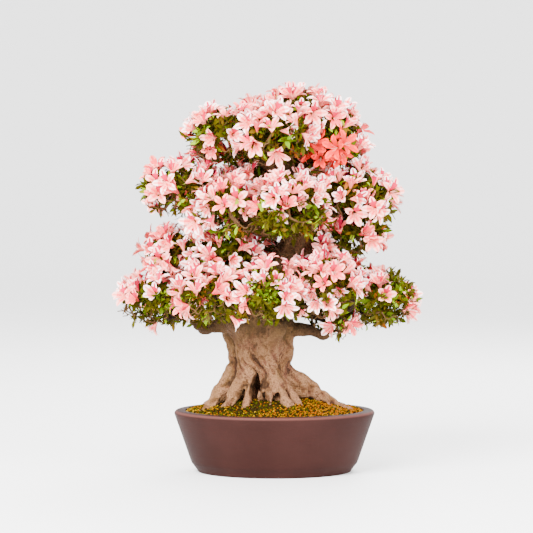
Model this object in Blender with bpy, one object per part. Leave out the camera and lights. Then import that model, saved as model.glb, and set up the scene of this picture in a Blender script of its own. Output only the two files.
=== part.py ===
"""Flowering azalea bonsai: a stout fluted trunk on spreading roots, three tiers of clipped pads, an oval pot.

Units are metres, +Z up. The origin is the centre of the pot's flat underside, and the front looks along -Y.
Every limb and every mass of leaves and blossom is worked out from the sizes named below.
"""

import math
import random
from collections import namedtuple

import bmesh
import bpy
from mathutils import Matrix, Vector, noise
from mathutils.bvhtree import BVHTree

GAP = 0.0003  # between pieces that touch
UP = Vector((0, 0, 1))
LEAF, BLOSSOM, TWIG = range(3)  # the material slots of a mass

# Pot: an oval, so each level is the same ellipse at another half width.
POT_HALF_WIDTH = 0.190
POT_HEIGHT = 0.117
POT_OVAL = 0.78  # depth over width
POT_SIDES = 32
FOOT_HALF_WIDTH = 0.1465
FOOT_HEIGHT = 0.0155
FOOT_TOP_HALF_WIDTH = 0.1560
FOOT_STEP = 0.0010
FOOT_ROUND = 0.003
LIP_WIDTH = 0.021
LIP_DEPTH = 0.009
LIP_ROUND = 0.007
LIP_BEVEL = 0.0015
WALL = 0.010
FLOOR = 0.012

# Soil: a low mound that the tree stands on.
SOIL_EDGE_DROP = 0.0025  # below the pot's lip
MOUND_RISE = 0.0235
MOUND_LEVEL = 0.38  # the share of the way out that is level
MOUND_FALL = 1.35
MOUND_RINGS = 5
MOUND_CAP = 0.18  # the innermost ring's share of the way out

# Trunk: its centre and radius at the ground, waist, shoulder, bend, return and tip.
Station = namedtuple("Station", "z x y r")
TRUNK = (
    Station(0.128, -0.022, 0.000, 0.050),
    Station(0.168, -0.026, 0.000, 0.050),
    Station(0.205, -0.028, 0.000, 0.055),
    Station(0.242, -0.027, 0.000, 0.058),
    Station(0.290, -0.027, 0.000, 0.062),
    Station(0.345, 0.000, 0.004, 0.045),
    Station(0.430, 0.046, 0.010, 0.034),
    Station(0.500, 0.040, 0.006, 0.027),
    Station(0.570, 0.012, 0.000, 0.024),
    Station(0.628, 0.026, 0.002, 0.015),
    Station(0.652, 0.034, 0.004, 0.010),
)
TIP_SHARE = 0.8  # of the tip's radius, for the stem that grows on from it
TRUNK_SIDES = 14
TRUNK_RINGS = 18
FLUTES = 7
FLUTE_DEPTH = 0.075  # of the radius
FLUTE_TWIST = 9  # radians a metre
FLUTE_FADE = 0.75
LUMP_DEPTH = 0.13  # of the radius
LUMP_HEIGHT = 0.045
SHARP_ANGLE = 50

# Roots: turn about the trunk in degrees (0 is right, -90 the front), how far out the tip lies, radius at
# the top, height where it leaves the trunk, and how far it sweeps round by its tip.
Root = namedtuple("Root", "turn reach r start sweep")
ROOTS = (
    Root(-6, 0.178, 0.021, 0.206, -4),
    Root(-37, 0.104, 0.015, 0.198, -4),
    Root(-58, 0.100, 0.020, 0.200, 4),
    Root(-76, 0.084, 0.010, 0.172, -3),
    Root(-92, 0.088, 0.014, 0.182, -24),
    Root(-117, 0.084, 0.012, 0.184, 4),
    Root(-138, 0.096, 0.018, 0.202, -4),
    Root(-166, 0.122, 0.020, 0.212, 8),
    Root(168, 0.116, 0.016, 0.196, 6),
    Root(136, 0.106, 0.017, 0.198, -8),
    Root(102, 0.100, 0.016, 0.194, 6),
    Root(68, 0.108, 0.018, 0.200, -6),
    Root(34, 0.122, 0.016, 0.194, 8),
)
ROOT_SEAT = 0.62  # how far out in the trunk a root starts, of the trunk's radius
ROOT_SPREAD = 1.25
ROOT_FALL = 1.65  # how steeply a root leaves the trunk
ROOT_RIDE = 0.45  # how far a root's middle rides above the soil, of its radius
ROOT_SINK = 0.75  # and how far it has sunk from there at its tip
ROOT_SWELL = 1.12
ROOT_TAPER = 0.66
ROOT_SIDES = 5
ROOT_RINGS = 6
HOLLOW_TURN = -104  # the dark gap between two front roots
HOLLOW_HEIGHT = 0.154
HOLLOW_HALF = Vector((0.028, 0.0085, 0.036))
LIMB_ROUGH = 0.13  # how far roots and boughs are out of round

# Masses: centre, half width and depth, rise and drop of the pad, then its bough: height where it leaves
# the trunk, radius there and how far it arches up over its length, and the blossoms on the pad.
# A pad with no bough sits on the trunk's tip.
Mass = namedtuple("Mass", "name x y z wide deep rise drop leaves r arch blossoms")
MASSES = (
    Mass("low_far_left", -0.218, 0.000, 0.328, 0.084, 0.082, 0.056, 0.048, 0.298, 0.0170, -0.10, 8),
    Mass("low_left_upper", -0.168, 0.040, 0.414, 0.092, 0.086, 0.058, 0.064, 0.356, 0.0120, 0.05, 9),
    Mass("low_inner_left", -0.088, -0.060, 0.412, 0.062, 0.058, 0.056, 0.056, 0.380, 0.0085, 0.05, 6),
    Mass("low_front_left", -0.112, -0.116, 0.344, 0.078, 0.074, 0.056, 0.052, 0.304, 0.0120, -0.05, 8),
    Mass("low_front", -0.008, -0.142, 0.352, 0.072, 0.078, 0.062, 0.058, 0.318, 0.0125, 0.00, 8),
    Mass("low_front_right", 0.088, -0.112, 0.364, 0.074, 0.078, 0.062, 0.062, 0.328, 0.0120, 0.00, 8),
    Mass("low_right", 0.184, -0.004, 0.330, 0.086, 0.086, 0.054, 0.056, 0.308, 0.0145, 0.04, 8),
    Mass("low_hanging", 0.122, -0.044, 0.298, 0.036, 0.038, 0.030, 0.042, 0.268, 0.0125, 0.10, 4),
    Mass("low_back_right", 0.112, 0.122, 0.352, 0.088, 0.080, 0.060, 0.056, 0.316, 0.0125, 0.02, 8),
    Mass("low_back", -0.012, 0.150, 0.368, 0.076, 0.072, 0.060, 0.056, 0.330, 0.0120, 0.00, 7),
    Mass("low_back_left", -0.124, 0.128, 0.344, 0.084, 0.074, 0.054, 0.052, 0.304, 0.0125, 0.02, 8),
    Mass("middle_left", -0.164, 0.002, 0.542, 0.088, 0.078, 0.056, 0.058, 0.476, 0.0115, 0.06, 9),
    Mass("middle_front_left", -0.082, -0.094, 0.506, 0.070, 0.070, 0.058, 0.058, 0.458, 0.0100, 0.02, 7),
    Mass("middle_front", 0.022, -0.116, 0.512, 0.080, 0.074, 0.060, 0.068, 0.470, 0.0105, 0.02, 8),
    Mass("middle_right", 0.148, -0.008, 0.522, 0.088, 0.088, 0.070, 0.062, 0.446, 0.0140, 0.08, 9),
    Mass("middle_right_low", 0.150, -0.014, 0.454, 0.062, 0.058, 0.042, 0.044, 0.420, 0.0100, 0.04, 5),
    Mass("middle_back_right", 0.086, 0.114, 0.520, 0.084, 0.078, 0.060, 0.062, 0.466, 0.0105, 0.02, 8),
    Mass("middle_back_left", -0.070, 0.112, 0.526, 0.084, 0.078, 0.058, 0.060, 0.482, 0.0105, 0.02, 8),
    Mass("top_left", -0.092, 0.000, 0.642, 0.082, 0.080, 0.056, 0.056, 0.576, 0.0100, 0.04, 9),
    Mass("top_front", 0.004, -0.068, 0.646, 0.076, 0.062, 0.052, 0.058, 0.590, 0.0080, 0.02, 7),
    Mass("top_right", 0.112, -0.004, 0.642, 0.060, 0.076, 0.066, 0.074, 0.570, 0.0090, 0.02, 8),
    Mass("top_back", 0.010, 0.084, 0.640, 0.090, 0.064, 0.058, 0.062, 0.598, 0.0080, 0.02, 8),
    Mass("crown_top", 0.040, 0.006, 0.686, 0.078, 0.072, 0.048, 0.040, None, 0.0, 0.0, 8),
)
SEED = 5

# Boughs
BOUGH_SIDES = 5
BOUGH_RINGS = 5
BOUGH_TAPER = 0.5
BOUGH_LEAD = 0.27  # how long it keeps its first and last direction, of its length
BOUGH_CROOK = 0.08  # sideways, of its length
BOUGH_CLEAR = 0.0004
ENTRY_REACH = 0.60  # how far out of a pad's middle its bough enters, of the half size
ENTRY_DROP = 0.74
STEM_LEAD = 0.012
STEM_TAPER = 0.5

# A mass's dense middle
CORE_SHARE = 0.78  # its size over its pad's
CORE_LEAST = 0.12
CORE_WAVE = 0.10
CORE_MARGIN = 0.06  # of a pad's size, kept from a neighbour's pad
CORE_STEPS = 14
CORE_SHRINK = 0.97  # at each try, where a core would still touch something
BEADS_PER_RUN = 4
BEAD_SWELL = 1.12  # bark stands out of a limb's mean radius
LIMB_CLEAR = 0.003

# Blossom and leaves. Sizes over the mean come from a range, and tilts are of a unit direction.
PLACES = 90  # candidate places spread over a pad
PIECE_CLEAR = 0.0012
PIECE_REACH = 0.017  # how far out of a pad a piece may stand
BLOSSOM_RADIUS = 0.0275
BLOSSOM_NOTCH = 0.0130
BLOSSOM_NOTCH_BACK = 0.0050
BLOSSOM_THROAT = 0.0045
BLOSSOM_TUBE = 0.034
BLOSSOM_SIZES = (0.94, 1.06)
BLOSSOM_SPACING = 0.038
BLOSSOM_OUT = (0.95, 1.0)  # of the pad's size
BLOSSOM_LOWEST = -0.45
BLOSSOM_TILT = 0.22
BLOSSOM_LIMB_CLEAR = 0.012
PETALS = 5
LEAF_LENGTH = 0.034
LEAF_HALF_WIDTH = 0.0070
LEAF_HALF_THICK = 0.0016
LEAF_WIDEST = 0.58
LEAF_SIZES = (0.85, 1.15)
LEAF_TILT = 0.45
LEAF_LIMB_CLEAR = 0.006
LEAF_SPACING = 0.017
LEAF_ROOT = 0.67  # of the pad's size, inside the core
LEAVES_PER_BLOSSOM = 0.65
TWIG_RADIUS = 0.0022
TWIG_OUT = 0.92  # how far a twig reaches, of the pad's size
TWIG_OVERLAP = 0.010  # its tip's run inside its leaf
TWIGS = 1
TWIG_BELOW = 0.1  # twigs show on a pad's lower half


def clear_scene():
    for obj in list(bpy.data.objects):
        bpy.data.objects.remove(obj)


def material(name, colour, roughness, metallic=0.0):
    made = bpy.data.materials.new(name)
    made.use_nodes = True
    shader = made.node_tree.nodes["Principled BSDF"]
    shader.inputs["Base Color"].default_value = (*colour, 1)
    shader.inputs["Roughness"].default_value = roughness
    shader.inputs["Metallic"].default_value = metallic
    made.diffuse_color = (*colour, 1)
    return made


def mesh_object(name, bm, materials, collection=None):
    bmesh.ops.recalc_face_normals(bm, faces=bm.faces)
    mesh = bpy.data.meshes.new(name)
    bm.to_mesh(mesh)
    bm.free()
    for each in materials:
        mesh.materials.append(each)
    obj = bpy.data.objects.new(name, mesh)
    (collection or bpy.context.scene.collection).objects.link(obj)
    return obj


def smooth(obj):
    obj.data.shade_smooth()
    obj.data.set_sharp_from_angle(angle=math.radians(SHARP_ANGLE))


def ring_body(rings, tip=None):
    """A closed body through rings of points, with a flat cap at each end or a point at the last."""
    bm = bmesh.new()
    loops = [[bm.verts.new(point) for point in ring] for ring in rings]
    count = len(rings[0])
    for low, high in zip(loops, loops[1:]):
        for i in range(count):
            j = (i + 1) % count
            bm.faces.new((low[i], low[j], high[j], high[i]))
    bm.faces.new(loops[0][::-1])
    if tip is None:
        bm.faces.new(loops[-1])
    else:
        top = bm.verts.new(tip)
        for i in range(count):
            bm.faces.new((loops[-1][i], loops[-1][(i + 1) % count], top))
    return bm


def limb_body(path, radii, sides, rng, uneven=0.0, pointed=False):
    """One tapering limb: rings square to a path, each a little out of round."""
    rings, side = [], None
    for i, point in enumerate(path):
        along = (path[min(i + 1, len(path) - 1)] - path[max(i - 1, 0)]).normalized()
        if side is None:
            side = along.orthogonal().normalized()
        side = (side - along * side.dot(along)).normalized()
        across = along.cross(side)
        ring = []
        for k in range(sides):
            angle = math.tau * k / sides
            r = radii[i] * (1 + rng.uniform(-uneven, uneven))
            ring.append(point + (side * math.cos(angle) + across * math.sin(angle)) * r)
        rings.append(ring)
    if pointed:
        return ring_body(rings[:-1], tip=path[-1])
    return ring_body(rings)


def cubic(a, b, c, d, t):
    s = 1 - t
    return a * s**3 + b * (3 * s * s * t) + c * (3 * s * t * t) + d * t**3


def smooth_between(before, a, b, after, t):
    """A smooth curve's value between a and b, t from 0 to 1."""
    square = 2 * before - 5 * a + 4 * b - after
    cube = 3 * a - before - 3 * b + after
    return 0.5 * (2 * a + (b - before) * t + square * t**2 + cube * t**3)


def apply_boolean(obj, operation, other=None, collection=None, solver="EXACT"):
    cut = obj.modifiers.new("fuse", "BOOLEAN")
    cut.operation = operation
    cut.solver = solver
    if collection is None:
        cut.object = other
    else:
        cut.operand_type = "COLLECTION"
        cut.collection = collection
    graph = bpy.context.evaluated_depsgraph_get()
    made = bpy.data.meshes.new_from_object(obj.evaluated_get(graph))
    obj.modifiers.remove(cut)
    old = obj.data
    obj.data = made
    bpy.data.meshes.remove(old)
    keep_main_body(obj)


def keep_main_body(obj):
    """Drops loose scraps and fills sealed hollows: only the largest shell stays."""
    bm = bmesh.new()
    bm.from_mesh(obj.data)
    bmesh.ops.triangulate(bm, faces=bm.faces)
    left, shells = set(bm.verts), []
    while left:
        found, todo = set(), [next(iter(left))]
        while todo:
            vert = todo.pop()
            if vert in found:
                continue
            found.add(vert)
            todo.extend(edge.other_vert(vert) for edge in vert.link_edges)
        left -= found
        shells.append(found)

    def volume(shell):
        faces = {face for vert in shell for face in vert.link_faces}
        corners = [[loop.vert.co for loop in face.loops] for face in faces]
        return sum(a.dot(b.cross(c)) for a, b, c in corners)

    main = max(shells, key=volume)
    bmesh.ops.delete(bm, geom=[v for v in bm.verts if v not in main], context="VERTS")
    bm.to_mesh(obj.data)
    bm.free()


def remove_collection(collection):
    for obj in list(collection.objects):
        bpy.data.objects.remove(obj)
    bpy.data.collections.remove(collection)


def helper_collection(name):
    made = bpy.data.collections.new(name)
    bpy.context.scene.collection.children.link(made)
    return made


# Pot and soil


def oval_ring(half_width, z):
    ring = []
    for i in range(POT_SIDES):
        angle = math.tau * i / POT_SIDES
        ring.append(Vector((half_width * math.cos(angle), POT_OVAL * half_width * math.sin(angle), z)))
    return ring


def wall_half_width(z):
    """Outside of the pot's wall, from the foot's top to the lip."""
    share = (z - FOOT_HEIGHT) / (POT_HEIGHT - LIP_ROUND - FOOT_HEIGHT)
    return FOOT_TOP_HALF_WIDTH + FOOT_STEP + (POT_HALF_WIDTH - FOOT_TOP_HALF_WIDTH - FOOT_STEP) * share


def cavity_profile(inset=0.0):
    """(half width, height) down the inside of the pot, from the lip's inner edge to the floor."""
    lip_under = POT_HEIGHT - LIP_DEPTH
    under_edge = lip_under - LIP_DEPTH / 2
    return [
        (POT_HALF_WIDTH - LIP_WIDTH - inset, POT_HEIGHT - LIP_BEVEL),
        (POT_HALF_WIDTH - LIP_WIDTH - inset, lip_under - inset),
        (wall_half_width(under_edge) - WALL - inset, under_edge - inset),
        (wall_half_width(FLOOR + WALL) - WALL - inset, FLOOR + inset),
    ]


def pot_body():
    profile = [
        (FOOT_HALF_WIDTH - FOOT_ROUND, 0.0),
        (FOOT_HALF_WIDTH, FOOT_ROUND),
        (FOOT_TOP_HALF_WIDTH, FOOT_HEIGHT),
        (FOOT_TOP_HALF_WIDTH + FOOT_STEP, FOOT_HEIGHT + FOOT_STEP),
        (POT_HALF_WIDTH, POT_HEIGHT - LIP_ROUND),
    ]
    for turn in (30, 60, 90):
        out = LIP_ROUND * (1 - math.cos(math.radians(turn)))
        up = LIP_ROUND * math.sin(math.radians(turn))
        profile.append((POT_HALF_WIDTH - out, POT_HEIGHT - LIP_ROUND + up))
    profile.append((POT_HALF_WIDTH - LIP_WIDTH + LIP_BEVEL, POT_HEIGHT))
    profile += cavity_profile()
    return ring_body([oval_ring(half, z) for half, z in profile])


def mound_height(share):
    """Height of the soil at a share of the way from its middle to the lip."""
    down = min(1.0, max(0.0, (share - MOUND_LEVEL) / (1 - MOUND_LEVEL)))
    return POT_HEIGHT - SOIL_EDGE_DROP + MOUND_RISE * (1 - down**MOUND_FALL)


def soil_body(lift=0.0):
    """The soil, or with a lift the space under it that the tree is cut clear of."""
    edge = POT_HALF_WIDTH - LIP_WIDTH - GAP
    profile = [(half, z) for half, z in reversed(cavity_profile(GAP))]
    profile[-1] = (edge, mound_height(1.0) + lift)
    for i in range(1, MOUND_RINGS + 1):
        share = 1 - (1 - MOUND_CAP) * i / MOUND_RINGS
        profile.append((edge * share, mound_height(share) + lift))
    return ring_body([oval_ring(half, z) for half, z in profile])


# Trunk, roots and boughs


def trunk_at(z):
    """(centre, radius) of the trunk at a height."""
    last = len(TRUNK) - 1
    i = max([k for k in range(last) if TRUNK[k].z <= z], default=0)
    t = (z - TRUNK[i].z) / (TRUNK[i + 1].z - TRUNK[i].z)
    near = [TRUNK[min(max(k, 0), last)] for k in range(i - 1, i + 3)]
    x, y, r = (smooth_between(*(getattr(station, key) for station in near), t) for key in "xyr")
    return Vector((x, y, z)), r


def trunk_rings():
    low, high = TRUNK[0].z, TRUNK[-1].z
    rings = []
    for i in range(TRUNK_RINGS):
        z = low + (high - low) * i / (TRUNK_RINGS - 1)
        centre, r = trunk_at(z)
        fade = 1 - FLUTE_FADE * i / TRUNK_RINGS
        ring = []
        for k in range(TRUNK_SIDES):
            angle = math.tau * k / TRUNK_SIDES
            out = Vector((math.cos(angle), math.sin(angle), 0))
            flute = math.cos(FLUTES * angle + FLUTE_TWIST * z) * FLUTE_DEPTH * fade
            lump = noise.noise(out + UP * z / LUMP_HEIGHT) * LUMP_DEPTH
            ring.append(centre + out * r * (1 + flute + lump))
        rings.append(ring)
    return rings


def root_path(root):
    """From inside the trunk, down its flank and out over the mound until it sinks in."""
    centre, r = trunk_at(root.start)
    path = []
    for i in range(ROOT_RINGS):
        t = i / (ROOT_RINGS - 1)
        turn = math.radians(root.turn + root.sweep * t * t)
        out = Vector((math.cos(turn), math.sin(turn), 0))
        at = centre + out * (r * ROOT_SEAT + (root.reach - r * ROOT_SEAT) * t**ROOT_SPREAD)
        share = math.hypot(at.x, at.y / POT_OVAL) / (POT_HALF_WIDTH - LIP_WIDTH)
        ground = mound_height(min(share, 1.0))
        drop = (1 - t) ** ROOT_FALL
        ride = root.r * (ROOT_RIDE - ROOT_SINK * t)
        at.z = ground + (root.start - ground) * drop + ride * (1 - drop)
        path.append(at)
    return path


def hollow_body():
    """The egg-shaped gap between two of the front roots."""
    turn = math.radians(HOLLOW_TURN)
    centre, r = trunk_at(HOLLOW_HEIGHT)
    place = Matrix.Translation(centre) @ Matrix.Rotation(turn, 4, "Z") @ Matrix.Translation((r, 0, 0))
    bm = bmesh.new()
    bmesh.ops.create_icosphere(bm, subdivisions=2, radius=1)
    bmesh.ops.transform(bm, matrix=place @ Matrix.Diagonal((*HOLLOW_HALF, 1)), verts=bm.verts)
    return bm


def trunk_object(bark):
    """The trunk with its roots fused on, hollowed, and cut to sit just off the soil."""
    rng = random.Random(SEED)
    trunk = mesh_object("trunk", ring_body(trunk_rings()), [bark])
    parts = helper_collection("roots")
    for root in ROOTS:
        path = root_path(root)
        steps = len(path) - 1
        radii = [root.r * (ROOT_SWELL - ROOT_TAPER * i / steps) for i in range(steps + 1)]
        mesh_object("root", limb_body(path, radii, ROOT_SIDES, rng, LIMB_ROUGH), [bark], parts)
    apply_boolean(trunk, "UNION", collection=parts)
    remove_collection(parts)
    for body in (hollow_body(), soil_body(GAP)):
        cutter = mesh_object("cutter", body, [])
        apply_boolean(trunk, "DIFFERENCE", cutter)
        bpy.data.objects.remove(cutter)
    smooth(trunk)
    return trunk


def centre_of(mass):
    return Vector((mass.x, mass.y, mass.z))


def entry_of(mass, start):
    """Where the bough goes into a pad: low, on the side nearest the trunk."""
    inward = Vector((start.x - mass.x, start.y - mass.y, 0)).normalized()
    reach = math.hypot(inward.x * mass.wide, inward.y * mass.deep) * ENTRY_REACH
    return centre_of(mass) + inward * reach - UP * mass.drop * ENTRY_DROP


def bough_path(mass, rng):
    """A curve from the trunk's middle to the pad's entry, with a seeded crook."""
    start, r = trunk_at(mass.leaves)
    end = entry_of(mass, start)
    out = Vector((end.x - start.x, end.y - start.y, 0)).normalized()
    length = (end - start).length
    inner = start + out * (r + length * BOUGH_LEAD)
    outer = end - (centre_of(mass) - end).normalized() * length * BOUGH_LEAD
    crook = out.cross(UP) * rng.uniform(-1, 1) * BOUGH_CROOK + UP * mass.arch
    path = []
    for i in range(BOUGH_RINGS):
        t = i / (BOUGH_RINGS - 1)
        path.append(cubic(start, inner, outer, end, t) + crook * length * math.sin(math.pi * t) ** 2)
    return path


def bough_radii(mass):
    steps = BOUGH_RINGS - 1
    return [mass.r * (1 - BOUGH_TAPER * i / steps) for i in range(steps + 1)]


def grown(obj, by):
    """A copy of a mesh pushed out along its normals, as a cutter that leaves a gap."""
    bm = bmesh.new()
    bm.from_mesh(obj.data)
    bm.normal_update()
    moves = [(vert, vert.normal.copy()) for vert in bm.verts]
    for vert, normal in moves:
        vert.co += normal * by
    return mesh_object("cutter", bm, [])


def bough_objects(trunk, bark):
    """The boughs, each cut to lie just off the bark, and the paths and radii that masses grow on from."""
    cutter = grown(trunk, BOUGH_CLEAR)
    boughs, paths = [], {}
    for k, mass in enumerate(MASSES):
        if mass.leaves is None:
            continue
        rng = random.Random(SEED * 100 + k)
        path, radii = bough_path(mass, rng), bough_radii(mass)
        body = limb_body(path, radii, BOUGH_SIDES, rng, LIMB_ROUGH)
        bough = mesh_object("bough_" + mass.name, body, [bark])
        apply_boolean(bough, "DIFFERENCE", cutter)
        smooth(bough)
        boughs.append(bough)
        paths[mass.name] = (path, radii)
    bpy.data.objects.remove(cutter)
    return boughs, paths


# Masses of leaves and blossom


def high_of(mass, upward):
    return mass.rise if upward > 0 else mass.drop


def fill(mass, point):
    """0 in the middle of a pad and 1 on its surface."""
    high = high_of(mass, point.z - mass.z)
    return Vector(
        ((point.x - mass.x) / mass.wide, (point.y - mass.y) / mass.deep, (point.z - mass.z) / high)
    ).length


def others_of(mass):
    return [other for other in MASSES if other is not mass]


def own(mass, point, margin=0.0):
    """Whether a point is nearer this pad than any other."""
    here = fill(mass, point)
    return all(fill(other, point) > here + margin for other in others_of(mass))


def on_pad(mass, way, share=1.0):
    """The point that lies a share of the way to a pad's surface, in a direction."""
    out = Vector((way.x * mass.wide, way.y * mass.deep, way.z * high_of(mass, way.z)))
    return centre_of(mass) + out * share


def outward(mass, way):
    """The pad's surface normal in a direction."""
    return Vector((way.x / mass.wide, way.y / mass.deep, way.z / high_of(mass, way.z))).normalized()


def spread_ways(count, rng):
    """Directions spread evenly over a sphere, in a shuffled order."""
    golden = math.pi * (3 - math.sqrt(5))
    start = rng.uniform(0, math.tau)
    found = []
    for i in range(count):
        z = 1 - 2 * (i + 0.5) / count
        flat = math.sqrt(1 - z * z)
        found.append(Vector((flat * math.cos(start + golden * i), flat * math.sin(start + golden * i), z)))
    rng.shuffle(found)
    return found


def scatter(rng, amount):
    return Vector([rng.uniform(-amount, amount) for _ in range(3)])


def limb_beads(paths):
    """Balls strung along the trunk's and boughs' lines, for keeping foliage off them."""
    beads = []
    steps = BEADS_PER_RUN * TRUNK_RINGS
    for i in range(steps + 1):
        beads.append(trunk_at(TRUNK[0].z + (TRUNK[-1].z - TRUNK[0].z) * i / steps))
    for path, radii in paths.values():
        for i in range(len(path) - 1):
            for k in range(BEADS_PER_RUN + 1):
                t = k / BEADS_PER_RUN
                beads.append((path[i].lerp(path[i + 1], t), radii[i] + (radii[i + 1] - radii[i]) * t))
    return beads


def clear_of(beads, point, by):
    return all((point - centre).length > BEAD_SWELL * r + by for centre, r in beads)


def points_of(bm, clear=0.0):
    """The body's points, moved out from its middle by a clearance."""
    points = [vert.co.copy() for vert in bm.verts]
    middle = sum(points, Vector()) / len(points)
    return [point + (point - middle).normalized() * clear for point in points]


def tree_of(bodies, clear=0.0):
    points, faces = [], []
    for bm in bodies:
        bm.verts.index_update()
        first = len(points)
        points += points_of(bm, clear)
        faces += [[first + vert.index for vert in face.verts] for face in bm.faces]
    return BVHTree.FromPolygons(points, faces)


def core_body(mass, beads, rng):
    """The pad's dense middle, drawn in wherever it would meet a limb or a neighbour's pad."""
    bm = bmesh.new()
    bmesh.ops.create_icosphere(bm, subdivisions=2, radius=1)
    offset = scatter(rng, 50)
    for vert in bm.verts:
        way = vert.co.normalized()
        reach = CORE_SHARE * (1 + CORE_WAVE * noise.noise(way + offset))
        share = CORE_LEAST
        for step in range(1, CORE_STEPS + 1):
            at = on_pad(mass, way, reach * step / CORE_STEPS)
            if not (own(mass, at, CORE_MARGIN) and clear_of(beads, at, LIMB_CLEAR)):
                break
            share = max(CORE_LEAST, reach * step / CORE_STEPS)
        vert.co = on_pad(mass, way, share)
    return bm


def core_bodies(beads, limb_trees):
    """Every pad's core, each made a little smaller until it touches no limb and no other core."""
    cores = [core_body(mass, beads, random.Random(SEED * 1000 + k)) for k, mass in enumerate(MASSES)]
    for k, mass in enumerate(MASSES):
        rest = limb_trees + [tree_of([core]) for core in cores[:k] + cores[k + 1 :]]
        centre = centre_of(mass)
        while any(tree_of([cores[k]], PIECE_CLEAR).overlap(tree) for tree in rest):
            for vert in cores[k].verts:
                vert.co = centre + (vert.co - centre) * CORE_SHRINK
    return cores


def blossom_body(at, facing, spin, size):
    """A five-petalled star on a tapering tube, whose point is sunk in the core."""
    side = facing.orthogonal().normalized()
    across = facing.cross(side)
    bm = bmesh.new()
    throat = bm.verts.new(at - facing * BLOSSOM_THROAT * size)
    end = bm.verts.new(at - facing * BLOSSOM_TUBE)
    tips, notches = [], []
    for k in range(PETALS):
        for found, turn, out, back in (
            (tips, 0, BLOSSOM_RADIUS, 0),
            (notches, 0.5, BLOSSOM_NOTCH, BLOSSOM_NOTCH_BACK),
        ):
            angle = spin + math.tau * (k + turn) / PETALS
            way = side * math.cos(angle) + across * math.sin(angle)
            found.append(bm.verts.new(at + way * out * size - facing * back * size))
    for k in range(PETALS):
        tip, left, right = tips[k], notches[k - 1], notches[k]
        bm.faces.new((throat, left, tip))
        bm.faces.new((throat, tip, right))
        bm.faces.new((left, right, tip))
        bm.faces.new((left, end, right))
    return bm


def leaf_body(root, along, flat, length):
    """A pointed blade of eight faces."""
    side = along.cross(flat).normalized() * LEAF_HALF_WIDTH
    lift = side.cross(along).normalized() * LEAF_HALF_THICK
    middle = root + along * length * LEAF_WIDEST
    bm = bmesh.new()
    base, tip = bm.verts.new(root), bm.verts.new(root + along * length)
    around = [bm.verts.new(middle + way) for way in (side, lift, -side, -lift)]
    for i in range(4):
        bm.faces.new((base, around[i], around[(i + 1) % 4]))
        bm.faces.new((tip, around[(i + 1) % 4], around[i]))
    return bm


def stem_body(mass, path, radii, rng):
    """The short limb inside a mass, starting a hair's breadth off its bough's tip."""
    along = (path[-1] - path[-2]).normalized()
    start = path[-1] + along * GAP
    line = [start, start + along * STEM_LEAD, centre_of(mass)]
    return limb_body(line, [radii[-1], radii[-1], radii[-1] * STEM_TAPER], BOUGH_SIDES, rng)


class Growth:
    """The pieces of one mass: its core and stem, then blossoms, leaves and leafy twigs where they fit."""

    def __init__(self, mass, core, stem, beads, trees, rng):
        self.mass, self.beads, self.trees, self.rng = mass, beads, trees, rng
        self.bodies = [(core, LEAF), (stem, TWIG)]
        self.taken = []
        self.reach = 1 + 3 * PIECE_REACH / (mass.wide + mass.deep + mass.rise)

    def fits(self, body):
        """Whether a piece keeps to its pad and touches nothing of the others."""
        points = points_of(body)
        middle = sum(points, Vector()) / len(points)
        if not own(self.mass, middle) or any(fill(self.mass, point) > self.reach for point in points):
            return False
        tree = tree_of([body], PIECE_CLEAR)
        return not any(tree.overlap(other) for other in self.trees)

    def open_place(self, at, limb_clear, spacing):
        """Whether a place on the pad's surface is off the limbs, the other pads and what grows already."""
        outside = all(fill(other, at) > 1 for other in others_of(self.mass))
        apart = all((at - other).length > spacing for other in self.taken)
        return outside and apart and clear_of(self.beads, at, limb_clear)

    def add(self, at, pieces):
        if all(self.fits(body) for body, _ in pieces):
            self.taken.append(at)
            self.bodies += pieces
            return True
        return False

    def blossoms(self, wanted):
        for way in spread_ways(PLACES, self.rng):
            at = on_pad(self.mass, way, self.rng.uniform(*BLOSSOM_OUT))
            if way.z < BLOSSOM_LOWEST or not self.open_place(at, BLOSSOM_LIMB_CLEAR, BLOSSOM_SPACING):
                continue
            facing = (outward(self.mass, way) + scatter(self.rng, BLOSSOM_TILT)).normalized()
            spin, size = self.rng.uniform(0, math.tau), self.rng.uniform(*BLOSSOM_SIZES)
            wanted -= self.add(at, [(blossom_body(at, facing, spin, size), BLOSSOM)])
            if not wanted:
                break

    def leaves(self, wanted):
        twigs = TWIGS
        for way in spread_ways(2 * PLACES, self.rng):
            root, at = on_pad(self.mass, way, LEAF_ROOT), on_pad(self.mass, way)
            if not self.open_place(at, LEAF_LIMB_CLEAR, LEAF_SPACING):
                continue
            along = (outward(self.mass, way) + scatter(self.rng, LEAF_TILT)).normalized()
            flat = (UP + scatter(self.rng, LEAF_TILT)).normalized()
            length = LEAF_LENGTH * self.rng.uniform(*LEAF_SIZES)
            pieces = [(leaf_body(root, along, flat, length), LEAF)]
            if twigs and way.z < TWIG_BELOW:
                end = on_pad(self.mass, way, TWIG_OUT)
                path = [root, root.lerp(end, 0.5), end]
                twig = limb_body(path, [TWIG_RADIUS, TWIG_RADIUS, 0], 3, self.rng, pointed=True)
                leaf = leaf_body(end - along * TWIG_OVERLAP, along, flat, length)
                pieces = [(twig, TWIG), (leaf, LEAF)]
            if self.add(at, pieces):
                twigs -= len(pieces) - 1
                wanted -= 1
            if not wanted:
                break


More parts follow.
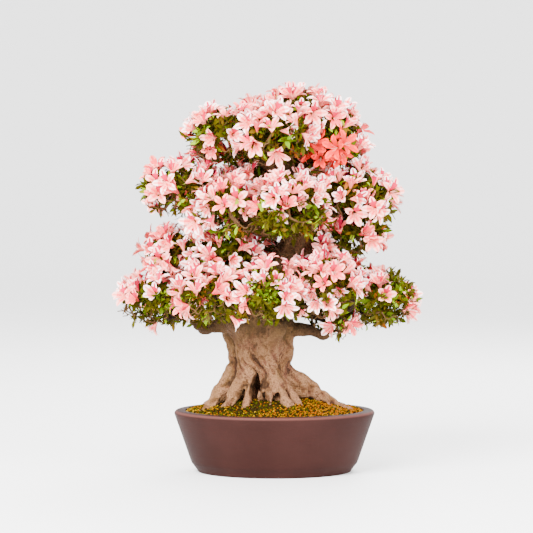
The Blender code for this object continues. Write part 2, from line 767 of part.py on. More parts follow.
def mass_objects(paths, limbs, materials):
    """The masses, grown one after another, each clear of the limbs and of those before it."""
    limb_trees = []
    for obj in limbs:
        bm = bmesh.new()
        bm.from_mesh(obj.data)
        limb_trees.append(tree_of([bm]))
        bm.free()
    tip = trunk_at(TRUNK[-1].z)[0]
    trunk_tip = ((tip - UP * TRUNK[-1].r, tip), (TRUNK[-1].r, TRUNK[-1].r * TIP_SHARE))
    beads = limb_beads(paths)
    cores = core_bodies(beads, limb_trees)
    grown_trees = []
    for k, mass in enumerate(MASSES):
        rng = random.Random(SEED * 1000 + k)
        stem = stem_body(mass, *paths.get(mass.name, trunk_tip), rng)
        later = [tree_of([core]) for core in cores[k + 1 :]]
        growth = Growth(mass, cores[k], stem, beads, limb_trees + grown_trees + later, rng)
        growth.blossoms(mass.blossoms)
        growth.leaves(round(mass.blossoms * LEAVES_PER_BLOSSOM))
        grown_trees.append(tree_of([body for body, _ in growth.bodies]))
        fuse_mass(mass, growth.bodies, materials)


def fuse_mass(mass, bodies, materials):
    """One solid of a core and all that stands out of it."""
    parts = helper_collection("parts")
    for body, slot in bodies:
        for face in body.faces:
            face.material_index = slot
    core = mesh_object("mass_" + mass.name, bodies[0][0], materials)
    for body, _ in bodies[1:]:
        mesh_object("piece", body, materials, parts)
    apply_boolean(core, "UNION", collection=parts, solver="MANIFOLD")
    core.data.shade_flat()
    remove_collection(parts)


def main():
    clear_scene()
    bark = material("bark", (0.42, 0.29, 0.20), 0.85)
    clay = material("pot_clay", (0.155, 0.060, 0.047), 0.45)
    granules = material("soil_granules", (0.55, 0.36, 0.04), 0.95)
    leaf = material("leaf", (0.10, 0.20, 0.025), 0.5)
    petal = material("petal", (0.85, 0.36, 0.33), 0.55)
    smooth(mesh_object("pot", pot_body(), [clay]))
    smooth(mesh_object("soil", soil_body(), [granules]))
    trunk = trunk_object(bark)
    boughs, paths = bough_objects(trunk, bark)
    mass_objects(paths, [trunk] + boughs, [leaf, petal, bark])


main()
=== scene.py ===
"""The looks of a flowering azalea bonsai: bark, twigs, leaves, blossom, soil and its oval clay pot.

Units are metres, +Z up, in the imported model's own frame, and the front looks along -Y.
The tree grows by the same rule and from the same named sizes as the model's solids, carried to finer twigs.
"""

import copy
import math
import random
from collections import namedtuple

import bpy
import numpy as np
from bpy.props import FloatProperty, FloatVectorProperty, PointerProperty
from mathutils import Matrix, Vector, noise


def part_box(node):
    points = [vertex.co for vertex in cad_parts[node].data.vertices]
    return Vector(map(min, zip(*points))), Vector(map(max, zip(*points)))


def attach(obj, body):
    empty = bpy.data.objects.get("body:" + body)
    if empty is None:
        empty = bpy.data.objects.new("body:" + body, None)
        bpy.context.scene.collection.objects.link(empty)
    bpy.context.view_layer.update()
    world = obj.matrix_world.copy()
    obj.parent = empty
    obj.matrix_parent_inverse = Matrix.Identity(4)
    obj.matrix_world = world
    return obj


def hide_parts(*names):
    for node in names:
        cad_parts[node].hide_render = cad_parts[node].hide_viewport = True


bl_info = {
    "name": "Azalea Bonsai Looks",
    "version": (1, 0, 0),
    "blender": (4, 5, 0),
    "location": "View3D > Sidebar > Bonsai",
    "description": "Dresses the packed bonsai with bark, leaves, blossom, soil and clay",
    "category": "Object",
}

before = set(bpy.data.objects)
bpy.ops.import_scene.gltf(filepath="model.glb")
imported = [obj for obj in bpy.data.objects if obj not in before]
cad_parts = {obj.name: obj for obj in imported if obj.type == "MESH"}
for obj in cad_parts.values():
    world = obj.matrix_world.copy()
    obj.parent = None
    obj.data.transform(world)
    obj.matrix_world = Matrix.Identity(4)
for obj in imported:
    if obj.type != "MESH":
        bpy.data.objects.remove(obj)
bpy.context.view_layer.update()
POT_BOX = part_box("pot")
UP = Vector((0, 0, 1))
GAP = 0.0003  # between the soil and the pot

# Pot and soil: the same levels as the solids, measured along the pot's length
FOOT_HALF_WIDTH = 0.1465
FOOT_HEIGHT = 0.0155
FOOT_TOP_HALF_WIDTH = 0.1560
FOOT_STEP = 0.0010
FOOT_ROUND = 0.003
LIP_WIDTH = 0.021
LIP_DEPTH = 0.009
LIP_ROUND = 0.007
LIP_BEVEL = 0.0015
WALL = 0.010
FLOOR = 0.012
POT_SIDES = 144
ROUND_STEPS = 4  # of the small rounded edges
LIP_STEPS = 8
WALL_STEPS = 12
SHARP = math.radians(38)  # edges that turn further than this stay sharp
SOIL_EDGE_DROP = 0.0025
MOUND_RISE = 0.0235
MOUND_LEVEL = 0.38
MOUND_FALL = 1.35
MOUND_STEPS = 30
MOUND_WAVE = 0.0008  # how far the mound rises and falls
MOUND_WAVES = 90  # a metre
PACKING = 0.87  # how far the rows of a triangular grid lie apart, of its spacing

# Granules
GRANULE_INSET = 0.4  # of the outermost ones from the lip, of their width
GRANULE_JITTER = 0.35  # of their spacing
GRANULE_SIZES = (0.66, 1.22)
GRANULE_ROUGH = 0.20
GRANULE_SHAPES = ((0.8, 0.8, 0.55), (1.1, 1.1, 0.85))
GRANULE_LIE = (1, 1, 0.35)
GRANULE_TILT = 0.4
GRANULE_SEATS = (-0.7, 0.8)  # of their middles on the mound, of half their width
GRANULE_SLOTS = ("golden", "orange", "ochre", "pale", "brown", "moss")
# The warmest first, each down to its warmth; the rest are brown.
GRANULE_WARMTH = ((0.62, "orange"), (0.20, "golden"), (0.02, "ochre"), (-0.12, "pale"))
PATCH_SHADE = 0.35  # how far patches of one colour outdo chance
PATCHES = 26  # a metre
WARM_SIDE = 1.6  # how much warmer the soil turns, a metre to the right
ROOT_ZONE = (-0.045, -0.015, 0.080, 0.025)  # middle, reach and fade of the mossy soil round the roots
# Then some of any warmth: their share, and how many more near the roots.
GRANULE_MIX = (("pale", 0.05, 0.0), ("moss", 0.16, 0.42), ("brown", 0.15, 0.42))

# Trunk: its centre and radius at the ground, waist, shoulder, bend, return and tip.
Station = namedtuple("Station", "z x y r")
TRUNK = [Station(*row) for row in (
    (0.128, -0.022, 0.0, 0.05),
    (0.168, -0.026, 0.0, 0.05),
    (0.205, -0.028, 0.0, 0.055),
    (0.242, -0.027, 0.0, 0.058),
    (0.29, -0.027, 0.0, 0.062),
    (0.345, 0.0, 0.004, 0.045),
    (0.43, 0.046, 0.01, 0.034),
    (0.5, 0.04, 0.006, 0.027),
    (0.57, 0.012, 0.0, 0.024),
    (0.628, 0.026, 0.002, 0.015),
    (0.652, 0.034, 0.004, 0.01),
)]
TRUNK_RINGS = 110
TRUNK_BEVEL = 22
LIMB_BEVEL = 4
CAP_SHARE = 0.3  # of the radius, within which the trunk's ends stay flat
FLUTES = 7
FLUTE_DEPTH = 0.075
FLUTE_TWIST = 9
FLUTE_FADE = 0.75
LUMP_DEPTH = 0.13
LUMP_HEIGHT = 0.045

# Roots: turn about the trunk in degrees (0 is right, -90 the front), reach, radius, start and sweep.
Root = namedtuple("Root", "turn reach r start sweep")
ROOTS = [Root(*row) for row in (
    (-6, 0.178, 0.021, 0.206, -4),
    (-37, 0.104, 0.015, 0.198, -4),
    (-58, 0.1, 0.02, 0.2, 4),
    (-76, 0.084, 0.01, 0.172, -3),
    (-92, 0.088, 0.014, 0.182, -24),
    (-117, 0.084, 0.012, 0.184, 4),
    (-138, 0.096, 0.018, 0.202, -4),
    (-166, 0.122, 0.02, 0.212, 8),
    (168, 0.116, 0.016, 0.196, 6),
    (136, 0.106, 0.017, 0.198, -8),
    (102, 0.1, 0.016, 0.194, 6),
    (68, 0.108, 0.018, 0.2, -6),
    (34, 0.122, 0.016, 0.194, 8),
)]
ROOT_SEAT = 0.62
ROOT_SPREAD = 1.25
ROOT_FALL = 1.65
ROOT_RIDE = 0.45
ROOT_SINK = 0.75
ROOT_SWELL = 1.00
ROOT_TAPER = 0.66
ROOT_RINGS = 22
KEEL_DROP = 0.5  # of a root's height over the soil, down to the middle of the wood under it
ROOTLET_TURN = 26  # degrees that a side root leaves its root by
ROOTLET_SHARE = 0.5  # of its root's radius
ROOTLET_TAPER = 0.55
ROOTLET_STEPS = 8
ROOTLET_REACH = (0.55, 0.9)  # of what its root has left
ROOTLET_TURNS = (0.6, 1.3)
ROOTLET_RIDE = 0.5
ROOTLET_SINK = 0.9
ROOTLET_FALL = 2.2
ROOTLET_BEND = 0.7
KEEL_SHARE = 0.8  # of the root's radius
# Hollows between the roots: turn, height, how far out of the trunk's skin, half length, width and height.
Hollow = namedtuple("Hollow", "turn z out long wide high")
HOLLOWS = [Hollow(*row) for row in (
    (-103, 0.152, 0.0, 0.042, 0.008, 0.04),
    (-152, 0.138, 0.014, 0.026, 0.005, 0.022),
    (-128, 0.14, 0.014, 0.026, 0.005, 0.024),
    (-84, 0.14, 0.014, 0.026, 0.0055, 0.024),
    (-66, 0.138, 0.014, 0.026, 0.0045, 0.02),
    (-47, 0.138, 0.014, 0.028, 0.005, 0.024),
    (-22, 0.138, 0.016, 0.03, 0.006, 0.026),
    (14, 0.138, 0.014, 0.028, 0.006, 0.026),
    (51, 0.138, 0.014, 0.028, 0.0055, 0.024),
    (85, 0.14, 0.01, 0.03, 0.007, 0.03),
    (119, 0.138, 0.014, 0.028, 0.0055, 0.024),
    (152, 0.138, 0.014, 0.028, 0.006, 0.024),
    (-179, 0.138, 0.014, 0.026, 0.005, 0.022),
)]

# Masses: centre, half width and depth, rise and drop of the pad, then its bough's height, radius and arch.
Mass = namedtuple("Mass", "name x y z wide deep rise drop leaves r arch")
MASSES = [Mass(*row) for row in (
    ("low_far_left", -0.218, 0.0, 0.328, 0.084, 0.082, 0.056, 0.048, 0.298, 0.017, -0.1),
    ("low_left_upper", -0.168, 0.04, 0.414, 0.092, 0.086, 0.058, 0.064, 0.356, 0.012, 0.05),
    ("low_inner_left", -0.088, -0.06, 0.412, 0.062, 0.058, 0.056, 0.056, 0.38, 0.0085, 0.05),
    ("low_front_left", -0.112, -0.116, 0.344, 0.078, 0.074, 0.056, 0.052, 0.304, 0.012, -0.05),
    ("low_front", -0.008, -0.142, 0.352, 0.072, 0.078, 0.062, 0.058, 0.318, 0.0125, 0.0),
    ("low_front_right", 0.088, -0.112, 0.364, 0.074, 0.078, 0.062, 0.062, 0.328, 0.012, 0.0),
    ("low_right", 0.184, -0.004, 0.33, 0.086, 0.086, 0.054, 0.056, 0.308, 0.0145, 0.04),
    ("low_hanging", 0.122, -0.044, 0.298, 0.036, 0.038, 0.03, 0.042, 0.268, 0.0125, 0.1),
    ("low_back_right", 0.112, 0.122, 0.352, 0.088, 0.08, 0.06, 0.056, 0.316, 0.0125, 0.02),
    ("low_back", -0.012, 0.15, 0.368, 0.076, 0.072, 0.06, 0.056, 0.33, 0.012, 0.0),
    ("low_back_left", -0.124, 0.128, 0.344, 0.084, 0.074, 0.054, 0.052, 0.304, 0.0125, 0.02),
    ("middle_left", -0.164, 0.002, 0.542, 0.088, 0.078, 0.056, 0.058, 0.476, 0.0115, 0.06),
    ("middle_front_left", -0.082, -0.094, 0.506, 0.07, 0.07, 0.058, 0.058, 0.458, 0.01, 0.02),
    ("middle_front", 0.022, -0.116, 0.512, 0.08, 0.074, 0.06, 0.068, 0.47, 0.0105, 0.02),
    ("middle_right", 0.148, -0.008, 0.522, 0.088, 0.088, 0.07, 0.062, 0.446, 0.014, 0.08),
    ("middle_right_low", 0.15, -0.014, 0.454, 0.062, 0.058, 0.042, 0.044, 0.42, 0.01, 0.04),
    ("middle_back_right", 0.086, 0.114, 0.52, 0.084, 0.078, 0.06, 0.062, 0.466, 0.0105, 0.02),
    ("middle_back_left", -0.07, 0.112, 0.526, 0.084, 0.078, 0.058, 0.06, 0.482, 0.0105, 0.02),
    ("top_left", -0.092, 0.0, 0.642, 0.082, 0.08, 0.056, 0.056, 0.576, 0.01, 0.04),
    ("top_front", 0.004, -0.068, 0.646, 0.076, 0.062, 0.052, 0.058, 0.59, 0.008, 0.02),
    ("top_right", 0.112, -0.004, 0.642, 0.06, 0.076, 0.066, 0.074, 0.57, 0.009, 0.02),
    ("top_back", 0.01, 0.084, 0.64, 0.09, 0.064, 0.058, 0.062, 0.598, 0.008, 0.02),
    ("crown_top", 0.04, 0.006, 0.686, 0.078, 0.072, 0.048, 0.04, None, 0.0, 0.0),
)]
SEED = 5
BOUGH_RINGS = 26
BOUGH_TAPER = 0.56
BOUGH_LEAD = 0.27
BOUGH_CROOK = 0.08
ENTRY_REACH = 0.60
ENTRY_DROP = 0.74
INSIDE = 0.93  # a point this near another pad's middle is hidden in it, of that pad's size
# Burls: turn about the trunk in degrees, height, half width, half height and how far they stand out.
Burl = namedtuple("Burl", "turn z wide high out")
BURLS = [Burl(*row) for row in (
    (-60, 0.276, 0.019, 0.017, 0.021),
    (-80, 0.282, 0.008, 0.02, -0.008),
    (-88, 0.234, 0.009, 0.009, 0.009),
    (-84, 0.252, 0.016, 0.014, 0.008),
    (-146, 0.284, 0.018, 0.015, 0.014),
    (-100, 0.3, 0.018, 0.014, 0.009),
    (-30, 0.246, 0.016, 0.024, 0.006),
    (-122, 0.226, 0.018, 0.026, 0.006),
    (20, 0.282, 0.02, 0.016, 0.01),
    (75, 0.262, 0.02, 0.02, 0.01),
    (128, 0.24, 0.018, 0.022, 0.009),
    (165, 0.27, 0.018, 0.016, 0.008),
)]
STRAND_TWIST = 5.0  # radians a metre
STRAND_WANDER = 0.35
STRAND_WAVES = 24
# Strands of the bark: their number about the trunk and a metre up it, then their shape and weight.
Strand = namedtuple("Strand", "around along start sharp bend middle weight")
CORD = Strand(1.9, 8, 0, 3.6, 0.7, 0.55, 0.46)
THREAD = Strand(5.5, 26, 7, 3.2, 0.8, 0.5, 0.18)
BULGES, KNOTS, SMALL_KNOTS = 27, 52, 95  # a metre
BULGE_WEIGHT = 0.60
KNOT_WEIGHT = 1.3
KNOT_SHARE = 0.8
PITS, PIT_STRETCH, PIT_REACH = 115, 0.8, 0.36
PIT_PATCHES, PIT_SPREAD, PIT_WEIGHT = 42, 0.30, 6
LOW_WOOD, LOW_WOOD_FADE = 0.40, 0.10  # the bark above is smoother
HIGH_ROUGHNESS = 0.45
OUTLYING_FROM = 0.235  # wood above this and off the trunk is a bough
OUTLYING_MARGIN = 1.1
OUTLYING_FADE = 0.03
# The fold map feeds the bark's painted shade in folds and painted highlight on ridges.
FOLD_ROUNDS = (4, 30)  # of smoothing, for narrow and for broad folds
FOLD_WEIGHTS = (420, 130, 0.25)
LIMB_KNOB = 0.14  # how far a limb swells and narrows, of its radius
KNOB_SPACING = 0.022

# Twigs
STEM_RISE = 0.15  # a stem's end over its pad's middle, of the rise
SPUR_SHARE = 0.58  # where the first spurs end, of the pad's size
SPURS = 12
TWIG_STEPS = 3
TWIG_LEAD = 0.32
TWIG_WANDER = 0.05  # sideways, of its length
TIP_RADIUS = 0.0009
TWIG_SWELL = 0.44  # power of the number of tips that a twig carries
THICK_TWIG = 0.0031
PAD_WAVE = 0.09  # how far the pad's surface rises and falls, of its size
PAD_WAVE_LENGTH = 0.55
UNDERSIDE = -0.38  # below this a pad shows its twigs
BARE_SHARE = 0.62  # of the twigs down there that bear nothing
BARE_REACH = (0.80, 1.16)  # how far the tangle of bare twigs reaches, of the pad's size
INNER_SHARE = 0.25  # of the tips under blossom that have leaves further in, so that no sky shows
INNER_REACH = (0.60, 0.86)
LINING_SHARE = 0.7  # of the leafy tips that have a second one under them
LINING_REACH = (0.70, 0.95)
LINING_SPREAD = 0.22
TIP_LIFT = 0.25  # how far a tip turns up
TIP_SCATTER = 0.30
TURN_BACK = 0.5  # how much further a node counts for a twig that has to turn back
SIDE_RADIUS = 0.0026  # at most, of the shoots along the boughs and up the trunk
SIDE_SPACING = 0.008
SIDE_REACH = (0.012, 0.034)
TRUNK_REACH = (0.020, 0.062)
SIDE_BEARS = (0.55, 0.45, 0)  # how often they bear nothing, leaves or blossom
TRUNK_BEARS = (0.30, 0.42, 0.28)
OPEN_FRONT = -0.35  # shoots that face further forward bear nothing, so that the trunk shows
SIDE_START = 9  # ring of the bough where they start
SIDE_LOWEST = 0.395
SIDE_ROUNDS = 8  # times that the trunk is gone over
SIDE_STEPS = 30  # along the trunk
SIDE_LEAN = (-0.2, 0.9)  # along the bough
SIDE_SCATTER = 0.5
FORK_REACH = 1.35  # of the second shoot, over the first one

# Leaves: rows along the blade as (share of the length, share of the half width, lift over the length)
LEAF_ROWS = ((0.0, 0.08, 0.00), (0.30, 0.80, 0.06), (0.64, 1.0, 0.08), (1.0, 0.05, -0.02))
LEAF_FOLD = 0.25  # how deep the blade folds along its rib, of the half width
LEAF_LIKENESS = 0.55  # of a spray's leaves that have its own green, and not the one before it, mostly a darker green as painted shade within the spray
LEAF_SIZES = (0.62, 1.20)
LEAF_SCATTER = 0.8
LEAF_SEATS = (-0.15, 0.95)  # how far back along its twig a leaf stands, of its length
GOLDEN_TURN = math.pi * (3 - math.sqrt(5))
# Sprays by what their tip bears: how many leaves, how far they lean out, how often more stand further back.
SprayKind = namedtuple("SprayKind", "leaves tilt back")
SPRAYS = {"leaves": SprayKind((5, 8), (0.25, 1.25), 0.8), "blossom": SprayKind((2, 4), (0.6, 1.5), 0.45)}
SPRAY_SIZES = (0.80, 1.15)
BACK_LEAVES = (2, 4)
BACK_TILT = (0.6, 1.6)
BACK_SIZES = (0.7, 1.0)
GREENS = ("deep", "green", "fresh", "lime", "olive", "rust")
LIT_GREENS = (5, 7, 4, 1.2, 1.0, 0.5)  # how often each comes
# Under the pads and back along the twigs the darker greens come far more often: painted shade, as well as
# older leaves.
LOW_SHADED_GREENS = (10, 2, 0.4, 0.1, 2.4, 0.4)
BACK_SHADED_GREENS = (10, 2, 0.5, 0.1, 2.2, 0.4)
TIERS = {"low": 0.445, "middle": 0.59, "top": math.inf}  # how high each reaches

# Petals: rows from the throat as (out, up, half width, bow of the middle), all of the blossom's radius
PETAL_ROWS = (
    (0.07, -0.60, 0.055, 0.00),
    (0.25, -0.15, 0.165, 0.01),
    (0.54, 0.02, 0.245, 0.03),
    (0.82, 0.03, 0.175, 0.04),
    (0.97, -0.03, 0.035, 0.04),
)
PETALS = 5
PETAL_COLUMNS = 3
PETAL_CHANNEL = 0.045  # how deep its middle lies, of the radius
MIDDLE_ZONES = (1, 0, 1, 2)  # of the petal's colours, from the throat
EDGE_ZONES = (1, 1, 3, 3)
THROAT_ZONES = 2  # the upper petal has its marks in place of these
MARK_SLOT = 4
STAMEN_SLOT = 6
CALYX_SLOT = 8
FILAMENTS = 5
# Open cones along Z, of the blossom's radius: sides, radius below and above, depth and middle height.
Cone = namedtuple("Cone", "sides low high depth middle")
STALK = Cone(3, 0.016, 0.010, 0.62, 0.31)
KNOB = Cone(4, 0.030, 0, 0.08, 0.64)
CALYX = Cone(5, 0.025, 0.085, 0.42, -0.64)
BLOSSOM_LOWEST = -0.80
SPORT_MIDDLE = Vector((0.100, -0.064, 0.600))  # of a cluster of coral blossom
SPORT_REACH = 0.039
BLOOM_RISE = 2.4  # how soon blossom takes over with height
LEAFY_PATCHES = 16  # a metre, where leaves outdo the blossom
LEAFY_FROM = 0.22
LEAFY_STRENGTH = 2.5
# Places where leaves come first: middle and reach.
Place = namedtuple("Place", "x y z reach")
LEAFY_CHANCE = 0.15  # of blossom there
LEAFY_PLACES = [Place(*row) for row in (
    (0.222, -0.02, 0.338, 0.05),
    (0.19, -0.07, 0.316, 0.04),
    (-0.022, -0.205, 0.345, 0.036),
    (0.135, -0.13, 0.325, 0.04),
    (-0.24, -0.03, 0.302, 0.044),
    (-0.205, -0.075, 0.316, 0.034),
    (-0.165, -0.09, 0.314, 0.032),
    (-0.12, -0.17, 0.308, 0.034),
    (0.0, -0.18, 0.488, 0.034),
    (0.078, -0.16, 0.484, 0.038),
    (0.205, -0.03, 0.492, 0.036),
    (-0.25, -0.01, 0.522, 0.032),
    (-0.1, -0.14, 0.468, 0.028),
    (-0.15, -0.04, 0.628, 0.03),
    (0.03, -0.125, 0.622, 0.022),
    (0.205, 0.09, 0.33, 0.045),
    (-0.17, 0.18, 0.32, 0.045),
    (0.02, 0.22, 0.345, 0.04),
    (0.12, 0.18, 0.49, 0.04),
    (-0.08, 0.18, 0.5, 0.036),
    (0.0, 0.14, 0.62, 0.034),
)]
# Places where blossom comes first.
BLOOM_PLACES = [Place(*row) for row in (
    (-0.085, -0.08, 0.65, 0.042),
    (-0.03, -0.11, 0.64, 0.04),
    (-0.06, -0.09, 0.612, 0.03),
    (0.004, -0.125, 0.605, 0.024),
    (-0.06, -0.15, 0.478, 0.026),
    (0.13, -0.09, 0.5, 0.034),
)]
# Sprigs that stand between the pads, where no sky shows.
Sprig = namedtuple("Sprig", "x y z bears")
SPRIGS = [Sprig(*row) for row in (
    (-0.022, 0.04, 0.428, "blossom"),
    (-0.006, 0.06, 0.423, "blossom"),
    (0.004, 0.075, 0.432, "leaves"),
    (-0.014, 0.07, 0.439, "leaves"),
    (-0.03, 0.09, 0.436, "leaves"),
    (0.0, 0.1, 0.442, "blossom"),
    (0.01, 0.06, 0.418, "leaves"),
    (-0.01, 0.105, 0.426, "leaves"),
    (0.08, 0.07, 0.446, "blossom"),
    (0.086, 0.05, 0.436, "leaves"),
    (0.094, 0.08, 0.444, "leaves"),
    (0.102, 0.066, 0.436, "leaves"),
    (-0.048, 0.0, 0.684, "blossom"),
    (-0.064, -0.016, 0.68, "blossom"),
    (-0.06, 0.022, 0.684, "blossom"),
    (-0.036, -0.03, 0.686, "blossom"),
    (-0.044, 0.04, 0.682, "blossom"),
)]
BLOSSOM_INSET = 0.021  # of a tip under blossom from the pad's surface
LEAF_INSET = 0.007
DEPTHS = (0.0, 0.0, 0.005, 0.011)
HANGING = 0.05  # how far below a pad its leaves and blossom hang, of its size
HANGING_INSET = 0.005
APART = 0.0155  # between the middles of two blossoms
CLUSTERS = (2.5, 4, 2.5)  # how often a tip bears one, two or three
HIGH_VARIANTS = (5, 4.5, 1.0)  # how often each colour comes
LOW_VARIANTS = (5, 4.5, 3)
OLDER_AND_SHADED_UNDER = -0.1  # more of the salmon blossoms below this: older blossoms, and painted shade on the pads' undersides
SPORT_CLOSER = 0.85  # how much closer the coral cluster's tips stand
SPORT_WIDER = 1.1  # and how much further apart its blossoms
LONE_SPREAD = (0.05, 0.35)  # how far a blossom leans off its tip, in radians
SHARED_SPREAD = (0.45, 0.80)
BLOSSOM_SIZES = (0.86, 1.12)
OPENED = (0.66, 1.04)  # how far its petals reach out
STALKS = (0.60, 0.84)  # how far it stands off its tip, of its radius
STALK_DROP = 0.8
BLOSSOM_LIFT = 0.10
BLOSSOM_SCATTER = 0.30
BLOSSOM_ROLL = 0.4
PETAL_BENDS = (-0.16, 0.20)
PETAL_TURNS = (-0.09, 0.09)
PETAL_LENGTHS = (0.92, 1.06)
CUP_FROM = 1.06  # a blossom opened this far is flat
CUP_BEND = 1.3
CUP_DEPTH = 1.5
STAMEN_TURNS = (-0.3, 0.3)
STAMEN_LEANS = (0.10, 0.42)
STAMEN_LENGTHS = (0.85, 1.15)
STAMEN_DROOP = 0.12
STAMEN_SEAT = 0.35  # how far back in the throat they start, of the radius

# Floor: flat as far as any camera stands, then a bowl
FLOOR_REACH = 11.0
FLOOR_FLAT = 6.5
FLOOR_CURVE = 0.16
FLOOR_CELLS = 80

# Camera
CAMERA_PLACE = Vector((-0.0151, -4.5, 0.60))
CAMERA_AIM = Vector((-0.0151, 0.0, 0.3885))
CAMERA_LENS = 160.8
CAMERA_SENSOR = 36.0

# Lights: place and size
LIGHT_AIM = Vector((0, 0, 0.4))
LIGHTS = {
    "key": ((-1.6, -2.6, 2.6), 2.4),
    "fill": ((2.2, -2.2, 1.2), 2.0),
    "back": ((0.8, 2.2, 2.4), 1.8),
}


# Settings that a user would change


def setting(kind, **limits):
    """A kind of setting, made from its name, description and default."""

    def made(name, description, default):
        return kind(name=name, description=description, default=default, **limits)

    return made


length = setting(FloatProperty, min=0, unit="LENGTH", precision=4)
share = setting(FloatProperty, min=0, max=1, subtype="FACTOR")
power = setting(FloatProperty, min=0, unit="POWER")
strength = setting(FloatProperty, min=0)
colour = setting(FloatVectorProperty, size=3, min=0, max=1, subtype="COLOR")


class PotSettings(bpy.types.PropertyGroup):
    half_width: length("Half width", "From the pot's middle to the outside of its lip", POT_BOX[1].x)
    height: length("Height", "From the flat underside to the top of the lip", POT_BOX[1].z)
    oval: share("Oval", "The pot's depth over its width", POT_BOX[1].y / POT_BOX[1].x)
    clay: colour("Clay", "Unglazed fired clay", (0.0162, 0.0044, 0.0032))
    # The paler clay serves both the pale patches and the painted highlight along the lip's edge.
    clay_pale_and_highlight: colour("Worn clay", "Paler clay along the lip", (0.080, 0.029, 0.024))


class SoilSettings(bpy.types.PropertyGroup):
    granule: length("Granule", "Mean width of a granule", 0.0040)
    spacing: length("Granule spacing", "Between the middles of neighbouring granules", 0.0036)
    golden: colour("Golden granules", "The commonest granules", (0.185, 0.076, 0.0001))
    orange: colour("Orange granules", "Fired granules", (0.190, 0.050, 0.0002))
    ochre: colour("Ochre granules", "Duller granules", (0.090, 0.058, 0.0004))
    pale: colour("Pale granules", "Washed granules", (0.270, 0.155, 0.0004))
    brown: colour("Brown granules", "Wet granules", (0.016, 0.009, 0.002))
    moss: colour("Moss", "Moss between the roots", (0.032, 0.033, 0.001))


class WoodSettings(bpy.types.PropertyGroup):
    grain: length("Mesh grain", "Size of the bark mesh's faces", 0.0027)
    ridge: length("Ridges", "Height of the ridges that run up the trunk", 0.0075)
    pit: length("Pits", "Depth of the pits in the bark", 0.0018)
    bark: colour("Bark", "Smooth old bark", (0.132, 0.056, 0.021))
    # Pale bark is also laid on the ridges as a painted highlight.
    bark_pale: colour("Pale bark", "Rubbed ridges", (0.310, 0.155, 0.074))
    bark_rose: colour("Rose bark", "Fresh bark under the flakes", (0.150, 0.054, 0.032))
    bark_olive: colour("Olive bark", "Where moss has tinted it", (0.085, 0.052, 0.010))
    # Dark bark is also the painted shade in the folds and under the crown.
    bark_dark: colour("Dark bark", "Pits and folds", (0.014, 0.006, 0.003))
    # Twig bark is also laid on the trunk's top and on the boughs, partly as painted shadow under the crown.
    twig: colour("Twig", "Bark of the twigs", (0.074, 0.039, 0.016))


class LeafSettings(bpy.types.PropertyGroup):
    length: length("Leaf length", "Mean length of a leaf", 0.0205)
    half_width: length("Leaf half width", "From its rib to its edge", 0.0034)
    spacing: length("Spray spacing", "Between the sprays on a pad's surface", 0.0205)
    # Deep and olive greens also stand for painted shade under the pads and inside them.
    deep: colour("Deep green", "Old leaves", (0.044, 0.038, 0.001))
    green: colour("Green", "Most leaves", (0.052, 0.078, 0.001))
    fresh: colour("Fresh green", "Leaves of this year", (0.088, 0.155, 0.001))
    lime: colour("Lime", "Leaves in the light", (0.195, 0.300, 0.003))
    olive: colour("Olive", "Leaves about to turn", (0.105, 0.060, 0.003))
    rust: colour("Rust", "Turned leaves", (0.250, 0.070, 0.006))


class BlossomSettings(bpy.types.PropertyGroup):
    radius: length("Blossom radius", "From its middle to a petal's tip", 0.0252)
    spacing: length("Blossom spacing", "Between blossoms on a pad", 0.0205)
    white: colour("Petal edge", "Edges and tips of the palest blossoms", (0.99, 0.75, 0.73))
    pale: colour("Pale petal", "Face of the palest blossoms", (0.98, 0.44, 0.40))
    pink: colour("Pink petal", "Face of the pink blossoms", (0.94, 0.26, 0.22))
    # Salmon blossoms come more often low on the pads, partly as painted shade.
    salmon: colour("Salmon petal", "Face of the older blossoms", (0.90, 0.23, 0.18))
    rose: colour("Throat", "The deep pink throat", (0.80, 0.075, 0.085))
    blotch: colour("Blotch", "Spots on the upper petal", (0.50, 0.003, 0.045))
    coral: colour("Coral petal", "The cluster of another colour", (0.80, 0.030, 0.018))
    coral_deep: colour("Coral throat", "Its throat", (0.60, 0.010, 0.010))
    filament: colour("Filament", "Stamens", (0.90, 0.42, 0.36))
    anther: colour("Anther", "Tips of the stamens", (0.30, 0.14, 0.07))
    calyx: colour("Calyx", "The green cup and stalk", (0.13, 0.16, 0.02))


class StageSettings(bpy.types.PropertyGroup):
    floor: colour("Floor", "The pale floor", (0.86, 0.86, 0.86))
    key: power("Key light", "Power of the large soft light", 690)
    fill: power("Fill lights", "Power of the fill light and of the light behind", 150)
    sky: strength("Sky", "Strength of the even light all round", 3.2)


# Materials

MIX_FACTOR, MIX_UNDER, MIX_OVER, MIX_RESULT = 0, 6, 7, 2  # the Mix node's sockets, when it mixes colours


class Field:
    """A number that varies over a surface. Python's operators add Math nodes to it."""

    def __init__(self, finish, socket):
        self.finish, self.socket = finish, socket

    def maths(self, operation, *values):
        node = self.finish.node("ShaderNodeMath", {"operation": operation}, values)
        return Field(self.finish, node.outputs[0])

    def __add__(self, other):
        return self.maths("ADD", self, other)

    def __radd__(self, other):
        return self.maths("ADD", other, self)

    def __sub__(self, other):
        return self.maths("SUBTRACT", self, other)

    def __rsub__(self, other):
        return self.maths("SUBTRACT", other, self)

    def __mul__(self, other):
        return self.maths("MULTIPLY", self, other)

    def __rmul__(self, other):
        return self.maths("MULTIPLY", other, self)

    def above(self, low, high):
        """0 below low, 1 above high, and smooth between."""
        settings = {"interpolation_type": "SMOOTHSTEP"}
        node = self.finish.node("ShaderNodeMapRange", settings, (self, low, high, 0.0, 1.0))
        return Field(self.finish, node.outputs["Result"])


